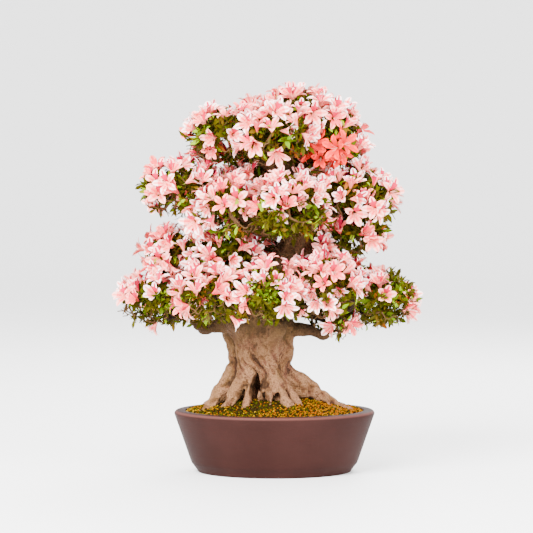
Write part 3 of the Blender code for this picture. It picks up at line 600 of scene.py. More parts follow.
class Finish:
    """One material: a Principled shader and the nodes that feed it."""

    def __init__(self, name, base, roughness, **constants):
        self.material = bpy.data.materials.new(name)
        self.material.use_nodes = True
        self.material.diffuse_color = (*base, 1)
        self.tree = self.material.node_tree
        self.shader = self.tree.nodes["Principled BSDF"]
        self.feed(self.shader.inputs["Base Color"], base)
        self.feed(self.shader.inputs["Roughness"], roughness)
        for key, value in constants.items():
            self.feed(self.shader.inputs[key], value)
        self.coordinates = None

    def feed(self, socket, value):
        if isinstance(value, Field):
            self.tree.links.new(value.socket, socket)
        elif isinstance(value, bpy.types.NodeSocket):
            self.tree.links.new(value, socket)
        elif socket.type == "RGBA":
            socket.default_value = (*value[:3], 1)
        else:
            socket.default_value = value

    def node(self, kind, settings=None, values=()):
        """Any node: its settings first, then its inputs by order, or by name from a dict."""
        made = self.tree.nodes.new(kind)
        for key, value in (settings or {}).items():
            setattr(made, key, value)
        items = values.items() if isinstance(values, dict) else enumerate(values)
        for key, value in items:
            self.feed(made.inputs[key], value)
        return made

    def place(self, stretch=(1, 1, 1)):
        """Object coordinates, stretched."""
        if self.coordinates is None:
            self.coordinates = self.node("ShaderNodeTexCoord")
        values = {"Vector": self.coordinates.outputs["Object"], "Scale": stretch}
        return self.node("ShaderNodeMapping", None, values).outputs[0]

    def clouds(self, scale, detail, rough, stretch=(1, 1, 1)):
        values = {"Vector": self.place(stretch), "Scale": scale, "Detail": detail, "Roughness": rough}
        return Field(self, self.node("ShaderNodeTexNoise", None, values).outputs["Fac"])

    def cells(self, scale):
        """Distance from the middle of the nearest cell."""
        values = {"Vector": self.place(), "Scale": scale}
        return Field(self, self.node("ShaderNodeTexVoronoi", None, values).outputs["Distance"])

    def height(self):
        """The Z of Object coordinates."""
        return Field(self, self.node("ShaderNodeSeparateXYZ", None, (self.place(),)).outputs["Z"])

    def drawn(self, name):
        """A number that the mesh holds at each of its points."""
        return Field(self, self.node("ShaderNodeAttribute", {"attribute_name": name}).outputs["Fac"])

    def colour(self, tone, *layers):
        """Lays colours over the base, each as (how much of it, colour)."""
        for amount, over in layers:
            values = {MIX_FACTOR: amount, MIX_UNDER: tone, MIX_OVER: over}
            tone = self.node("ShaderNodeMix", {"data_type": "RGBA"}, values).outputs[MIX_RESULT]
        self.feed(self.shader.inputs["Base Color"], tone)

    def roughness(self, value):
        self.feed(self.shader.inputs["Roughness"], value)

    def relief(self, height, distance):
        bump = self.node("ShaderNodeBump", None, {"Height": height, "Distance": distance, "Strength": 1.0})
        self.feed(self.shader.inputs["Normal"], bump.outputs[0])


def bark_finish(sizes):
    """Smooth old bark: rose and pale patches, specks and pits, painted shade in the folds and a painted
    highlight on the ridges, and painted shadow up under the crown.
    """
    made = Finish("bark", sizes.bark, 0.82, IOR=1.2)
    fold = made.drawn("fold")
    patches = made.clouds(30, 6, 0.65)
    mossy = made.clouds(18, 5, 0.6)
    rubbed = made.clouds(85, 6, 0.7, stretch=(1, 1, 0.55))
    grain = made.clouds(420, 5, 0.75)
    specks = made.cells(125)
    pores = made.cells(230)
    streaks = made.clouds(110, 4, 0.6, stretch=(1, 1, 0.12))
    high = made.height()
    outlying = made.drawn("outlying")
    # How far the painted shadow under the crown holds: it fades up inside the crown.
    shade = 1 - high.above(0.360, 0.420) * 0.65
    # Patches of painted shadow at the trunk's top, under the crown.
    crown_shadow = high.above(0.250, 0.300) * patches.above(0.32, 0.58)
    made.colour(
        sizes.bark,
        (patches.above(0.44, 0.60) * 0.80, sizes.bark_rose),
        (mossy.above(0.52, 0.66) * 0.45, sizes.bark_olive),
        (rubbed.above(0.44, 0.60) * 0.60, sizes.bark_pale),
        # Painted highlight on the ridges, where the fold map is low.
        ((1 - fold.above(0.0, 0.36)) * 0.50, sizes.bark_pale),
        (streaks.above(0.52, 0.80) * 0.35, sizes.bark_dark),
        (grain.above(0.50, 0.62) * 0.48, sizes.bark_dark),
        ((1 - pores.above(0.10, 0.42)) * patches.above(0.40, 0.56) * 0.55, sizes.bark_dark),
        ((1 - specks.above(0.08, 0.36)) * rubbed.above(0.40, 0.62) * 0.72, sizes.bark_dark),
        # Painted shade deep in the folds.
        ((fold + grain * 0.5 + streaks * 0.3).above(0.98, 1.50) * 0.85, sizes.bark_dark),
        (high.above(0.215, 0.290) * mossy.above(0.38, 0.56) * shade * 0.60, sizes.bark_olive),
        # Painted shadow of the crown on the trunk's top.
        (high.above(0.205, 0.285) * shade * 0.66, sizes.twig),
        # Boughs darker: partly their own darker bark, partly painted shadow under the crown.
        (outlying * shade * 0.70, sizes.twig),
        # More painted shadow in patches at the trunk's top and on the boughs.
        ((crown_shadow * 0.70 + outlying * 0.35) * shade, sizes.bark_dark),
    )
    made.roughness(0.72 + rubbed * 0.22)
    fine = grain * 0.7 + specks.above(0.12, 0.32) * 0.4 + pores * 0.5
    made.relief(rubbed * 0.6 + streaks * 0.3 + fine, 0.0055)
    return made.material


def clay_finish(sizes):
    """Unglazed clay: fine grain, faint turning lines, paler patches, and a painted highlight along the
    lip's rounded outer edge.
    """
    made = Finish("pot_clay", sizes.clay, 0.6, IOR=1.16)
    cloud = made.clouds(9, 4, 0.5)
    grain = made.clouds(900, 2, 0.6)
    lines = made.clouds(5, 3, 0.5, stretch=(1, 1, 90))
    top = made.height()
    rim = sizes.height
    # A painted highlight in a band round the lip's rounded outer edge.
    edge = top.above(rim - 0.0065, rim - 0.0025) * (1 - top.above(rim - 0.0012, rim))
    patches_and_highlight = (cloud.above(0.35, 0.75) * 0.10, grain.above(0.55, 0.80) * 0.12, edge * 0.75)
    made.colour(sizes.clay, *[(amount, sizes.clay_pale_and_highlight) for amount in patches_and_highlight])
    made.roughness(0.52 + cloud * 0.10 + grain * 0.08)
    made.relief(grain * 0.25 + lines * 0.75, 0.0004)
    return made.material


def mound_finish(sizes):
    """The soil under the loose granules: brown, with patches of moss, and beads in its relief."""
    made = Finish("soil", sizes.ochre, 0.95, IOR=1.1)
    beads = made.cells(330)
    cloud = made.clouds(30, 4, 0.6)
    mossy = (cloud.above(0.45, 0.70) * 0.6, sizes.moss)
    made.colour(sizes.brown, mossy, (beads.above(0.25, 0.55) * 0.7, sizes.brown))
    made.relief(1 - beads, 0.0015)
    return made.material


def floor_finish(sizes):
    made = Finish("floor", sizes.floor, 0.6)
    made.colour(sizes.floor, (made.clouds(0.7, 2, 0.5), [channel * 0.985 for channel in sizes.floor]))
    return made.material


def plain_finishes(name, sizes, keys, roughness, ior):
    """A plain material for each of some settings, named by its setting."""
    return [Finish(name % key, getattr(sizes, key), roughness, IOR=ior).material for key in keys]


# Modelling


def deselect():
    if bpy.context.mode != "OBJECT":
        bpy.ops.object.mode_set(mode="OBJECT")
    bpy.ops.object.select_all(action="DESELECT")


def only(obj):
    deselect()
    obj.select_set(True)
    bpy.context.view_layer.objects.active = obj


def named(name):
    made = bpy.context.view_layer.objects.active
    made.name = made.data.name = name
    return made


def linked(name, data):
    made = bpy.data.objects.new(name, data)
    bpy.context.scene.collection.objects.link(made)
    return made


def use_modifier(obj, kind, **settings):
    only(obj)
    added = obj.modifiers.new("step", kind)
    for key, value in settings.items():
        setattr(added, key, value)
    bpy.ops.object.modifier_apply(modifier=added.name)


def joined(name, objects):
    only(objects[0])
    for obj in objects:
        obj.select_set(True)
    bpy.ops.object.join()
    return named(name)


def turned(name, levels, oval):
    """A round piece drawn up through (half width, height) levels, closed and pressed oval."""
    deselect()
    half, z = levels[0]
    bpy.ops.mesh.primitive_circle_add(vertices=POT_SIDES, radius=half, location=(0, 0, z))
    bpy.ops.object.mode_set(mode="EDIT")
    for next_half, next_z in levels[1:]:
        bpy.ops.mesh.extrude_region_move(TRANSFORM_OT_translate={"value": (0, 0, next_z - z)})
        grow = next_half / half
        bpy.ops.transform.resize(value=(grow, grow, 1), center_override=(0, 0, next_z))
        half, z = next_half, next_z
    bpy.ops.mesh.select_all(action="SELECT")
    bpy.ops.mesh.fill_holes(sides=0)
    bpy.ops.mesh.select_all(action="SELECT")
    bpy.ops.transform.resize(value=(1, oval, 1), center_override=(0, 0, 0))
    bpy.ops.mesh.normals_make_consistent(inside=False)
    bpy.ops.object.mode_set(mode="OBJECT")
    bpy.ops.object.transform_apply(location=True, rotation=True, scale=True)
    return named(name)


def finished(obj, materials, slot, *nodes):
    """Gives a piece its materials, sets it on the root body, and hides the solids that it takes the place
    of.
    """
    for each in materials:
        obj.data.materials.append(each)
    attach(obj, "root")
    if nodes:
        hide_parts(*nodes)
    return obj


def tubes(name, limbs, bevel):
    """One mesh of tapering round tubes. A limb is a list of (point, radius)."""
    deselect()
    curve = bpy.data.curves.new(name, "CURVE")
    curve.dimensions = "3D"
    curve.bevel_depth = 1.0
    curve.bevel_resolution = bevel
    curve.use_fill_caps = True
    for limb in limbs:
        spline = curve.splines.new("POLY")
        spline.points.add(len(limb) - 1)
        spline.points.foreach_set("co", [number for point, _ in limb for number in (*point, 1)])
        spline.points.foreach_set("radius", [r for _, r in limb])
    only(linked(name, curve))
    bpy.ops.object.convert(target="MESH")
    return named(name)


class Shape:
    """A small shape as arrays, read from a modelled object, which is then removed."""

    def __init__(self, obj, zones=None):
        mesh = obj.data
        self.points = np.array([vert.co[:] for vert in mesh.vertices])
        self.corners = np.array([i for face in mesh.polygons for i in face.vertices])
        self.sizes = np.array([len(face.vertices) for face in mesh.polygons])
        self.zones = np.zeros(len(self.sizes), int) if zones is None else np.array(zones)
        bpy.data.objects.remove(obj)

    def recoloured(self, zones):
        """The same shape with other colours."""
        other = copy.copy(self)
        other.zones = zones
        return other


class Bed:
    """Many copies of small shapes, dealt into one piece."""

    def __init__(self):
        self.count = 0
        self.points, self.corners, self.sizes, self.slots = [], [], [], []

    def deal(self, shape, points, slots):
        """points holds each copy's own corners, and slots each copy's first material slot."""
        copies, corners = points.shape[:2]
        starts = self.count + np.arange(copies)[:, None] * corners
        self.points.append(points.reshape(-1, 3))
        self.corners.append((shape.corners[None, :] + starts).ravel())
        self.sizes.append(np.tile(shape.sizes, copies))
        self.slots.append((shape.zones[None, :] + np.asarray(slots)[:, None]).ravel())
        self.count += copies * corners

    def piece(self, name, smooth=True):
        points, corners = np.concatenate(self.points), np.concatenate(self.corners)
        sizes, slots = np.concatenate(self.sizes), np.concatenate(self.slots)
        mesh = bpy.data.meshes.new(name)
        mesh.vertices.add(len(points))
        mesh.vertices.foreach_set("co", points.ravel())
        mesh.loops.add(len(corners))
        mesh.loops.foreach_set("vertex_index", corners)
        mesh.polygons.add(len(sizes))
        mesh.polygons.foreach_set("loop_start", np.concatenate(([0], np.cumsum(sizes)[:-1])))
        mesh.polygons.foreach_set("material_index", slots)
        mesh.polygons.foreach_set("use_smooth", np.full(len(sizes), smooth))
        mesh.update(calc_edges=True)
        return linked(name, mesh)


def unit(vectors):
    return vectors / np.maximum(np.linalg.norm(vectors, axis=-1, keepdims=True), 1e-9)


def turned_to(points, along, facing):
    """Copies of points (or each copy's own), with +Y turned along and +Z as near facing as it can be."""
    side = unit(np.cross(along, facing))
    over = np.cross(side, along)
    basis = np.stack((side, along, over), axis=1)
    if points.ndim == 2:
        points = np.broadcast_to(points, (len(along), *points.shape))
    return np.einsum("nvi,nij->nvj", points, basis)


# Growth: the model's rule, carried further


def smooth_between(before, a, b, after, t):
    square = 2 * before - 5 * a + 4 * b - after
    cube = 3 * a - before - 3 * b + after
    return 0.5 * (2 * a + (b - before) * t + square * t**2 + cube * t**3)


def cubic(a, b, c, d, t):
    s = 1 - t
    return a * s**3 + b * (3 * s * s * t) + c * (3 * s * t * t) + d * t**3


def trunk_at(z):
    """(centre, radius) of the trunk at a height."""
    last = len(TRUNK) - 1
    i = max([k for k in range(last) if TRUNK[k].z <= z], default=0)
    t = (z - TRUNK[i].z) / (TRUNK[i + 1].z - TRUNK[i].z)
    near = [TRUNK[min(max(k, 0), last)] for k in range(i - 1, i + 3)]
    x, y, r = (smooth_between(*(getattr(station, key) for station in near), t) for key in "xyr")
    return Vector((x, y, z)), r


def trunk_line(low, high, steps):
    return [trunk_at(low + (high - low) * i / steps) for i in range(steps + 1)]


def mound_height(outwards):
    """Height of the soil at a share of the way from its middle to the lip."""
    down = min(1.0, max(0.0, (outwards - MOUND_LEVEL) / (1 - MOUND_LEVEL)))
    return POT_BOX[1].z - SOIL_EDGE_DROP + MOUND_RISE * (1 - down**MOUND_FALL)


def ground_at(x, y):
    """Height of the soil at a place, and of its edge outside the lip."""
    oval = POT_BOX[1].y / POT_BOX[1].x
    return mound_height(math.hypot(x, y / oval) / (POT_BOX[1].x - LIP_WIDTH))


def root_path(root):
    centre, r = trunk_at(root.start)
    path = []
    for i in range(ROOT_RINGS):
        t = i / (ROOT_RINGS - 1)
        turn = math.radians(root.turn + root.sweep * t * t)
        out = Vector((math.cos(turn), math.sin(turn), 0))
        at = centre + out * (r * ROOT_SEAT + (root.reach - r * ROOT_SEAT) * t**ROOT_SPREAD)
        ground = ground_at(at.x, at.y)
        drop = (1 - t) ** ROOT_FALL
        ride = root.r * (ROOT_RIDE - ROOT_SINK * t)
        at.z = ground + (root.start - ground) * drop + ride * (1 - drop)
        path.append(at)
    return path


def centre_of(mass):
    return Vector((mass.x, mass.y, mass.z))


def entry_of(mass, start):
    inward = Vector((start.x - mass.x, start.y - mass.y, 0)).normalized()
    reach = math.hypot(inward.x * mass.wide, inward.y * mass.deep) * ENTRY_REACH
    return centre_of(mass) + inward * reach - UP * mass.drop * ENTRY_DROP


def bough_path(mass, rng):
    start, r = trunk_at(mass.leaves)
    end = entry_of(mass, start)
    out = Vector((end.x - start.x, end.y - start.y, 0)).normalized()
    span = (end - start).length
    inner = start + out * (r + span * BOUGH_LEAD)
    outer = end - (centre_of(mass) - end).normalized() * span * BOUGH_LEAD
    crook = out.cross(UP) * rng.uniform(-1, 1) * BOUGH_CROOK + UP * mass.arch
    path = []
    for i in range(BOUGH_RINGS):
        t = i / (BOUGH_RINGS - 1)
        path.append(cubic(start, inner, outer, end, t) + crook * span * math.sin(math.pi * t) ** 2)
    return path


def high_of(mass, upward):
    return mass.rise if upward > 0 else mass.drop


def fill(mass, point):
    """0 in the middle of a pad and 1 on its surface."""
    high = high_of(mass, point.z - mass.z)
    x, y, z = (point.x - mass.x) / mass.wide, (point.y - mass.y) / mass.deep, (point.z - mass.z) / high
    return Vector((x, y, z)).length


def hidden(mass, point):
    """Whether a point on one pad lies inside another."""
    return any(other is not mass and fill(other, point) < INSIDE for other in MASSES)


def on_pad(mass, way, out=1.0):
    reach = Vector((way.x * mass.wide, way.y * mass.deep, way.z * high_of(mass, way.z)))
    return centre_of(mass) + reach * out


def outward(mass, way):
    return Vector((way.x / mass.wide, way.y / mass.deep, way.z / high_of(mass, way.z))).normalized()


def spread_ways(count, rng):
    """Directions spread evenly over a sphere, in a shuffled order."""
    start = rng.uniform(0, math.tau)
    found = []
    for i in range(count):
        z = 1 - 2 * (i + 0.5) / count
        flat = math.sqrt(1 - z * z)
        turn = start + GOLDEN_TURN * i
        found.append(Vector((flat * math.cos(turn), flat * math.sin(turn), z)))
    rng.shuffle(found)
    return found


def scatter(rng, amount):
    return Vector([rng.uniform(-amount, amount) for _ in range(3)])


def spun(vector, angle, axis):
    vector.rotate(Matrix.Rotation(angle, 3, axis))
    return vector


def within(point, places):
    """Whether a point lies in one of several round places."""
    return any((point - Vector(place[:3])).length < place.reach for place in places)


def pad_area(mass):
    """Surface of the pad, as of an ellipsoid, by Thomsen's rule."""
    p = 1.6
    a, b, c = mass.wide, mass.deep, (mass.rise + mass.drop) / 2
    return 4 * math.pi * (((a * b) ** p + (a * c) ** p + (b * c) ** p) / 3) ** (1 / p)


Tip = namedtuple("Tip", "node at along height fill bears")


class Twigs:
    """Nodes that each grow on an earlier one, and the tips that they end in."""

    def __init__(self, path, radius, rng):
        self.rng, self.limit, self.tips = rng, radius, []
        self.points, self.parents = list(path), list(range(-1, len(path) - 1))

    def grow(self, start, lead, late, end):
        """A twig of several nodes along a curve from a node, and its last node."""
        a, span = self.points[start], (end - self.points[start]).length
        last = start
        for i in range(1, TWIG_STEPS + 1):
            t = i / TWIG_STEPS
            wander = scatter(self.rng, span * TWIG_WANDER) * math.sin(math.pi * t)
            self.points.append(cubic(a, lead, late, end, t) + wander)
            self.parents.append(last)
            last = len(self.points) - 1
        return last

    def reach(self, target, facing):
        """Grows a twig to a target from the node that is nearest, counting a turn back as further."""
        places = np.array([point[:] for point in self.points[1:]])
        away = np.array(target[:]) - places
        far = np.linalg.norm(away, axis=1)
        against = 1 - (away / np.maximum(far, 1e-6)[:, None]) @ np.array(facing[:])
        start = 1 + int(np.argmin(far * (1 + TURN_BACK * against)))
        a = self.points[start]
        before = (a - self.points[self.parents[start]]).normalized()
        span = (target - a).length
        return self.grow(start, a + before * span * TWIG_LEAD, target - facing * span * TWIG_LEAD, target)

    def radii(self):
        carried = np.zeros(len(self.points))
        for tip in self.tips:
            carried[tip.node] += 1
        for i in range(len(self.points) - 1, 0, -1):
            carried[self.parents[i]] += carried[i]
        self.carried = carried
        return np.minimum(TIP_RADIUS * np.maximum(carried, 1) ** TWIG_SWELL, self.limit)

    def limbs(self):
        """The twigs as lines of (point, radius): each runs on into its stoutest branch."""
        radii = self.radii()
        branches = {}
        for i in range(1, len(self.points)):
            if self.carried[i]:
                branches.setdefault(self.parents[i], []).append(i)
        lines, starts = [], [(0, 1)]
        while starts:
            parent, here = starts.pop()
            first = min(radii[parent], radii[here])
            line = [(self.points[parent], first), (self.points[here], radii[here])]
            while here in branches:
                others = sorted(branches[here], key=lambda i: self.carried[i])
                stoutest = others.pop()
                starts += [(here, other) for other in others]
                here = stoutest
                line.append((self.points[here], radii[here]))
            lines.append(line)
        return lines


class SideTwigs(Twigs):
    """Short shoots along a bough or the trunk, that fork and mostly bear nothing."""

    def __init__(self, path, radii, rng, reaches, bearing):
        super().__init__(path, SIDE_RADIUS, rng)
        span = sum((b - a).length for a, b in zip(path, path[1:]))
        for _ in range(round(span / SIDE_SPACING)):
            i = rng.randrange(1, len(path) - 1)
            along = (path[i + 1] - path[i - 1]).normalized()
            way = spun(along.orthogonal().normalized(), rng.uniform(0, math.tau), along)
            way.z = abs(way.z)
            way = (way + along * rng.uniform(*SIDE_LEAN)).normalized()
            for reach in (rng.uniform(*reaches), rng.uniform(*reaches) * FORK_REACH):
                facing = (way + scatter(rng, SIDE_SCATTER)).normalized()
                at = path[i] + facing * (radii[i] + reach)
                bears = "nothing"
                if way.y > OPEN_FRONT:
                    bears = rng.choices(("nothing", "leaves", "blossom"), bearing)[0]
                self.tips.append(Tip(self.reach(at, facing), at, facing, -1, 0, bears))


class PadTwigs(Twigs):
    """One pad's twigs, and the tips that bear leaves and blossom all over it."""

    def __init__(self, mass, path, radius, rng):
        super().__init__(path[-2:], radius, rng)
        self.mass, self.offset = mass, scatter(rng, 50)
        end = centre_of(mass) + UP * mass.rise * STEM_RISE
        lead = path[-1] + (path[-1] - path[-2]).normalized() * (end - path[-1]).length * TWIG_LEAD
        self.grow(1, lead, end, end)
        for way in spread_ways(SPURS, rng):
            target = on_pad(mass, way, SPUR_SHARE)
            if way.z > UNDERSIDE and not hidden(mass, target):
                self.reach(target, outward(mass, way))

    def surface(self, way):
        """How far out the pad's surface lies in a direction, of its size."""
        return 1 + PAD_WAVE * noise.noise(way / PAD_WAVE_LENGTH + self.offset)

    def bears(self, way, surface):
        """What grows at a tip: blossom above and on the flanks, leaves in patches, little underneath."""
        if (surface - SPORT_MIDDLE).length < SPORT_REACH:
            return "blossom"
        if way.z < UNDERSIDE and self.rng.random() < BARE_SHARE:
            return "nothing"
        leafy = max(0.0, noise.noise(surface * LEAFY_PATCHES) - LEAFY_FROM) * LEAFY_STRENGTH
        chance = (way.z - BLOSSOM_LOWEST) * BLOOM_RISE - leafy
        if within(surface, LEAFY_PLACES):
            chance = LEAFY_CHANCE
        if within(surface, BLOOM_PLACES):
            chance = 1.0
        return "blossom" if self.rng.random() < chance else "leaves"

    def clothe(self, spacing):
        """Grows tips all over the pad. One that bears blossom ends deeper, as blossom stands out."""
        wanted = round(pad_area(self.mass) / (PACKING * spacing**2))
        for way in spread_ways(wanted, self.rng):
            surface = on_pad(self.mass, way, self.surface(way))
            if not hidden(self.mass, surface):
                bears = self.bears(way, surface)
                inset = {"blossom": BLOSSOM_INSET, "leaves": LEAF_INSET, "nothing": 0}[bears]
                if way.z < UNDERSIDE:
                    surface = on_pad(self.mass, way, self.surface(way) + HANGING)
                    inset = min(inset, HANGING_INSET)
                self.tip(way, surface - outward(self.mass, way) * (self.rng.choice(DEPTHS) + inset), bears)
                if bears == "leaves" and self.rng.random() < LINING_SHARE:
                    near = (way + scatter(self.rng, LINING_SPREAD)).normalized()
                    self.tip(near, on_pad(self.mass, near, self.rng.uniform(*LINING_REACH)), bears)
        for way in spread_ways(wanted, self.rng):
            at = on_pad(self.mass, way, self.rng.uniform(*BARE_REACH))
            if way.z < UNDERSIDE and not hidden(self.mass, at):
                self.tip(way, at, "nothing")
        middle = centre_of(self.mass)
        for tip in [tip for tip in self.tips if tip.bears == "blossom"]:
            if self.rng.random() < INNER_SHARE:
                at = middle + (tip.at - middle) * self.rng.uniform(*INNER_REACH)
                self.tip(tip.along, at, "leaves")

    def tip(self, way, at, bears):
        facing = (outward(self.mass, way) + UP * TIP_LIFT + scatter(self.rng, TIP_SCATTER)).normalized()
        self.tips.append(Tip(self.reach(at, facing), at, facing, way.z, fill(self.mass, at), bears))


class Tree:
    """All that grows, worked out once and shared by the operators."""

    made = None

    def __init__(self, spacing):
        self.boughs, self.pads, self.sides = [], [], []
        for k, mass in enumerate(MASSES):
            rng = random.Random(SEED * 1000 + k)
            if mass.leaves is None:
                tip, r = trunk_at(TRUNK[-1].z)
                path, end_radius = [tip - UP * r, tip], r
            else:
                path = bough_path(mass, random.Random(SEED * 100 + k))
                radii = [mass.r * (1 - BOUGH_TAPER * i / (BOUGH_RINGS - 1)) for i in range(BOUGH_RINGS)]
                end_radius = radii[-1]
                self.boughs.append((mass, path, radii))
                outer = path[SIDE_START:], radii[SIDE_START:]
                self.sides.append(SideTwigs(*outer, rng, SIDE_REACH, SIDE_BEARS))
            pad = PadTwigs(mass, path, end_radius, rng)
            pad.clothe(spacing)
            self.pads.append(pad)
        for place in SPRIGS:
            at = Vector(place[:3])
            pad = min(self.pads, key=lambda pad: fill(pad.mass, at))
            pad.tip((at - centre_of(pad.mass)).normalized(), at, place.bears)
        path, radii = zip(*trunk_line(SIDE_LOWEST, TRUNK[-2].z, SIDE_STEPS))
        for k in range(SIDE_ROUNDS):
            rng = random.Random(SEED * 10 + k)
            self.sides.append(SideTwigs(path, radii, rng, TRUNK_REACH, TRUNK_BEARS))

    @classmethod
    def of(cls, scene):
        if cls.made is None:
            cls.made = cls(scene.bonsai_leaves.spacing)
        return cls.made


# Pot and soil


def wall_half_width(half_width, height, z):
    along = (z - FOOT_HEIGHT) / (height - LIP_ROUND - FOOT_HEIGHT)
    return FOOT_TOP_HALF_WIDTH + FOOT_STEP + (half_width - FOOT_TOP_HALF_WIDTH - FOOT_STEP) * along


def cavity_levels(half_width, height, inset=0.0):
    """Down the inside of the pot, from the lip's inner edge to the floor."""
    under = height - LIP_DEPTH
    edge = under - LIP_DEPTH / 2
    return [
        (half_width - LIP_WIDTH - inset, height - LIP_BEVEL),
        (half_width - LIP_WIDTH - inset, under - inset),
        (wall_half_width(half_width, height, edge) - WALL - inset, edge - inset),
        (wall_half_width(half_width, height, FLOOR + WALL) - WALL - inset, FLOOR + inset),
    ]


def arc_levels(centre_half, centre_z, radius, start, end, steps):
    """Levels along a rounded edge, by turn in degrees from level outwards."""
    turns = [math.radians(start + (end - start) * i / steps) for i in range(steps + 1)]
    return [(centre_half + radius * math.cos(turn), centre_z + radius * math.sin(turn)) for turn in turns]


class BONSAI_OT_pot(bpy.types.Operator):
    """Turn the oval pot with its foot, sloped wall and broad lip"""

    bl_idname = "bonsai.pot"
    bl_label = "Pot"

    def execute(self, context):
        sizes = context.scene.bonsai_pot
        half, height = sizes.half_width, sizes.height
        wall = height - LIP_ROUND - FOOT_HEIGHT
        rises = [FOOT_HEIGHT + wall * i / WALL_STEPS for i in range(1, WALL_STEPS)]
        inner = half - LIP_WIDTH + LIP_BEVEL
        levels = [
            *arc_levels(FOOT_HALF_WIDTH - FOOT_ROUND, FOOT_ROUND, FOOT_ROUND, -90, 0, ROUND_STEPS),
            (FOOT_TOP_HALF_WIDTH, FOOT_HEIGHT),
            (FOOT_TOP_HALF_WIDTH + FOOT_STEP, FOOT_HEIGHT + FOOT_STEP),
            *[(wall_half_width(half, height, z), z) for z in rises],
            *arc_levels(half - LIP_ROUND, height - LIP_ROUND, LIP_ROUND, 0, 90, LIP_STEPS),
            *arc_levels(inner, height - LIP_BEVEL, LIP_BEVEL, 90, 180, ROUND_STEPS),
            *cavity_levels(half, height)[1:],
        ]
        pot = turned("pot_clay", levels, sizes.oval)
        bpy.ops.object.shade_smooth_by_angle(angle=SHARP)
        finished(pot, [clay_finish(sizes)], "pot_clay", "pot")
        return {"FINISHED"}


def soil_grain(context):
    """Places on the mound, on a jittered grid within the lip, as (x, y)."""
    sizes = context.scene.bonsai_soil
    pot = context.scene.bonsai_pot
    reach = pot.half_width - LIP_WIDTH - sizes.granule * GRANULE_INSET
    rng = np.random.default_rng(SEED)
    step = sizes.spacing
    xs, ys = np.meshgrid(np.arange(-reach, reach, step), np.arange(-reach, reach, step * PACKING))
    xs = xs + (np.arange(len(xs)) % 2)[:, None] * step / 2
    jitter = rng.uniform(-GRANULE_JITTER, GRANULE_JITTER, (xs.size, 2))
    places = np.stack((xs.ravel(), ys.ravel()), 1) + jitter * step
    inside = np.hypot(places[:, 0], places[:, 1] / pot.oval) < reach
    return places[inside], rng


class BONSAI_OT_soil(bpy.types.Operator):
    """Heap the mound of soil that the tree stands on"""

    bl_idname = "bonsai.soil"
    bl_label = "Soil"

    def execute(self, context):
        pot = context.scene.bonsai_pot
        edge = pot.half_width - LIP_WIDTH - GAP
        levels = list(reversed(cavity_levels(pot.half_width, pot.height, GAP)))
        levels.pop()
        inwards = [1 - i / MOUND_STEPS for i in range(MOUND_STEPS)]
        levels += [(edge * out, mound_height(out)) for out in inwards]
        soil = turned("soil_mound", levels, pot.oval)
        for vert in soil.data.vertices:
            if vert.co.z > pot.height:
                vert.co.z += MOUND_WAVE * noise.noise(vert.co * MOUND_WAVES)
        bpy.ops.object.shade_smooth_by_angle(angle=SHARP)
        finished(soil, [mound_finish(context.scene.bonsai_soil)], "soil_granules", "soil")
        return {"FINISHED"}


class BONSAI_OT_granules(bpy.types.Operator):
    """Strew the soil with loose granules of several colours"""

    bl_idname = "bonsai.granules"
    bl_label = "Granules"

    def execute(self, context):
        sizes = context.scene.bonsai_soil
        places, rng = soil_grain(context)
        deselect()
        bpy.ops.mesh.primitive_ico_sphere_add(subdivisions=1, radius=1)
        grain = Shape(bpy.context.object)
        count = len(places)
        widths = sizes.granule / 2 * rng.uniform(*GRANULE_SIZES, count)
        rough = rng.uniform(-GRANULE_ROUGH, GRANULE_ROUGH, (count, len(grain.points), 1))
        shape = grain.points[None] * (1 + rough)
        shape = shape * rng.uniform(*GRANULE_SHAPES, (count, 3))[:, None] * widths[:, None, None]
        along = unit(rng.normal(size=(count, 3)) * GRANULE_LIE)
        facing = unit(rng.normal(size=(count, 3)) * GRANULE_TILT + UP[:])
        heights = np.array([ground_at(x, y) for x, y in places])
        heights += widths * rng.uniform(*GRANULE_SEATS, count)
        points = turned_to(shape, along, facing) + np.column_stack((places, heights))[:, None]
        bed = Bed()
        bed.deal(grain, points, self.tones(places, rng))
        finishes = plain_finishes("%s_granules", sizes, GRANULE_SLOTS, roughness=0.9, ior=1.05)
        finished(bed.piece("soil_granules", smooth=False), finishes, "soil_granules")
        return {"FINISHED"}

    def tones(self, places, rng):
        """Each granule's colour: patches, warmer to the right, brown and mossy near the roots."""
        count, slot = len(places), {key: i for i, key in enumerate(GRANULE_SLOTS)}
        patches = np.array([noise.noise(Vector((x, y, 0)) * PATCHES) for x, y in places])
        warmth = rng.uniform(size=count) + patches * PATCH_SHADE + places[:, 0] * WARM_SIDE
        x, y, reach, fade = ROOT_ZONE
        near = np.exp(-np.maximum(0, np.hypot(places[:, 0] - x, places[:, 1] - y) - reach) / fade)
        warm = [warmth > least for least, _ in GRANULE_WARMTH]
        slots = np.select(warm, [slot[key] for _, key in GRANULE_WARMTH], default=slot["brown"])
        for key, least, more in GRANULE_MIX:
            slots = np.where(rng.uniform(size=count) < least + more * near, slot[key], slots)
        return slots


# Wood


def knobbed(path, radii, rng):
    """A limb's line with its radius swelling and narrowing."""
    offset = scatter(rng, 50)
    swells = [1 + LIMB_KNOB * noise.noise(at / KNOB_SPACING + offset) for at in path]
    return [(at, r * swell) for at, r, swell in zip(path, radii, swells)]


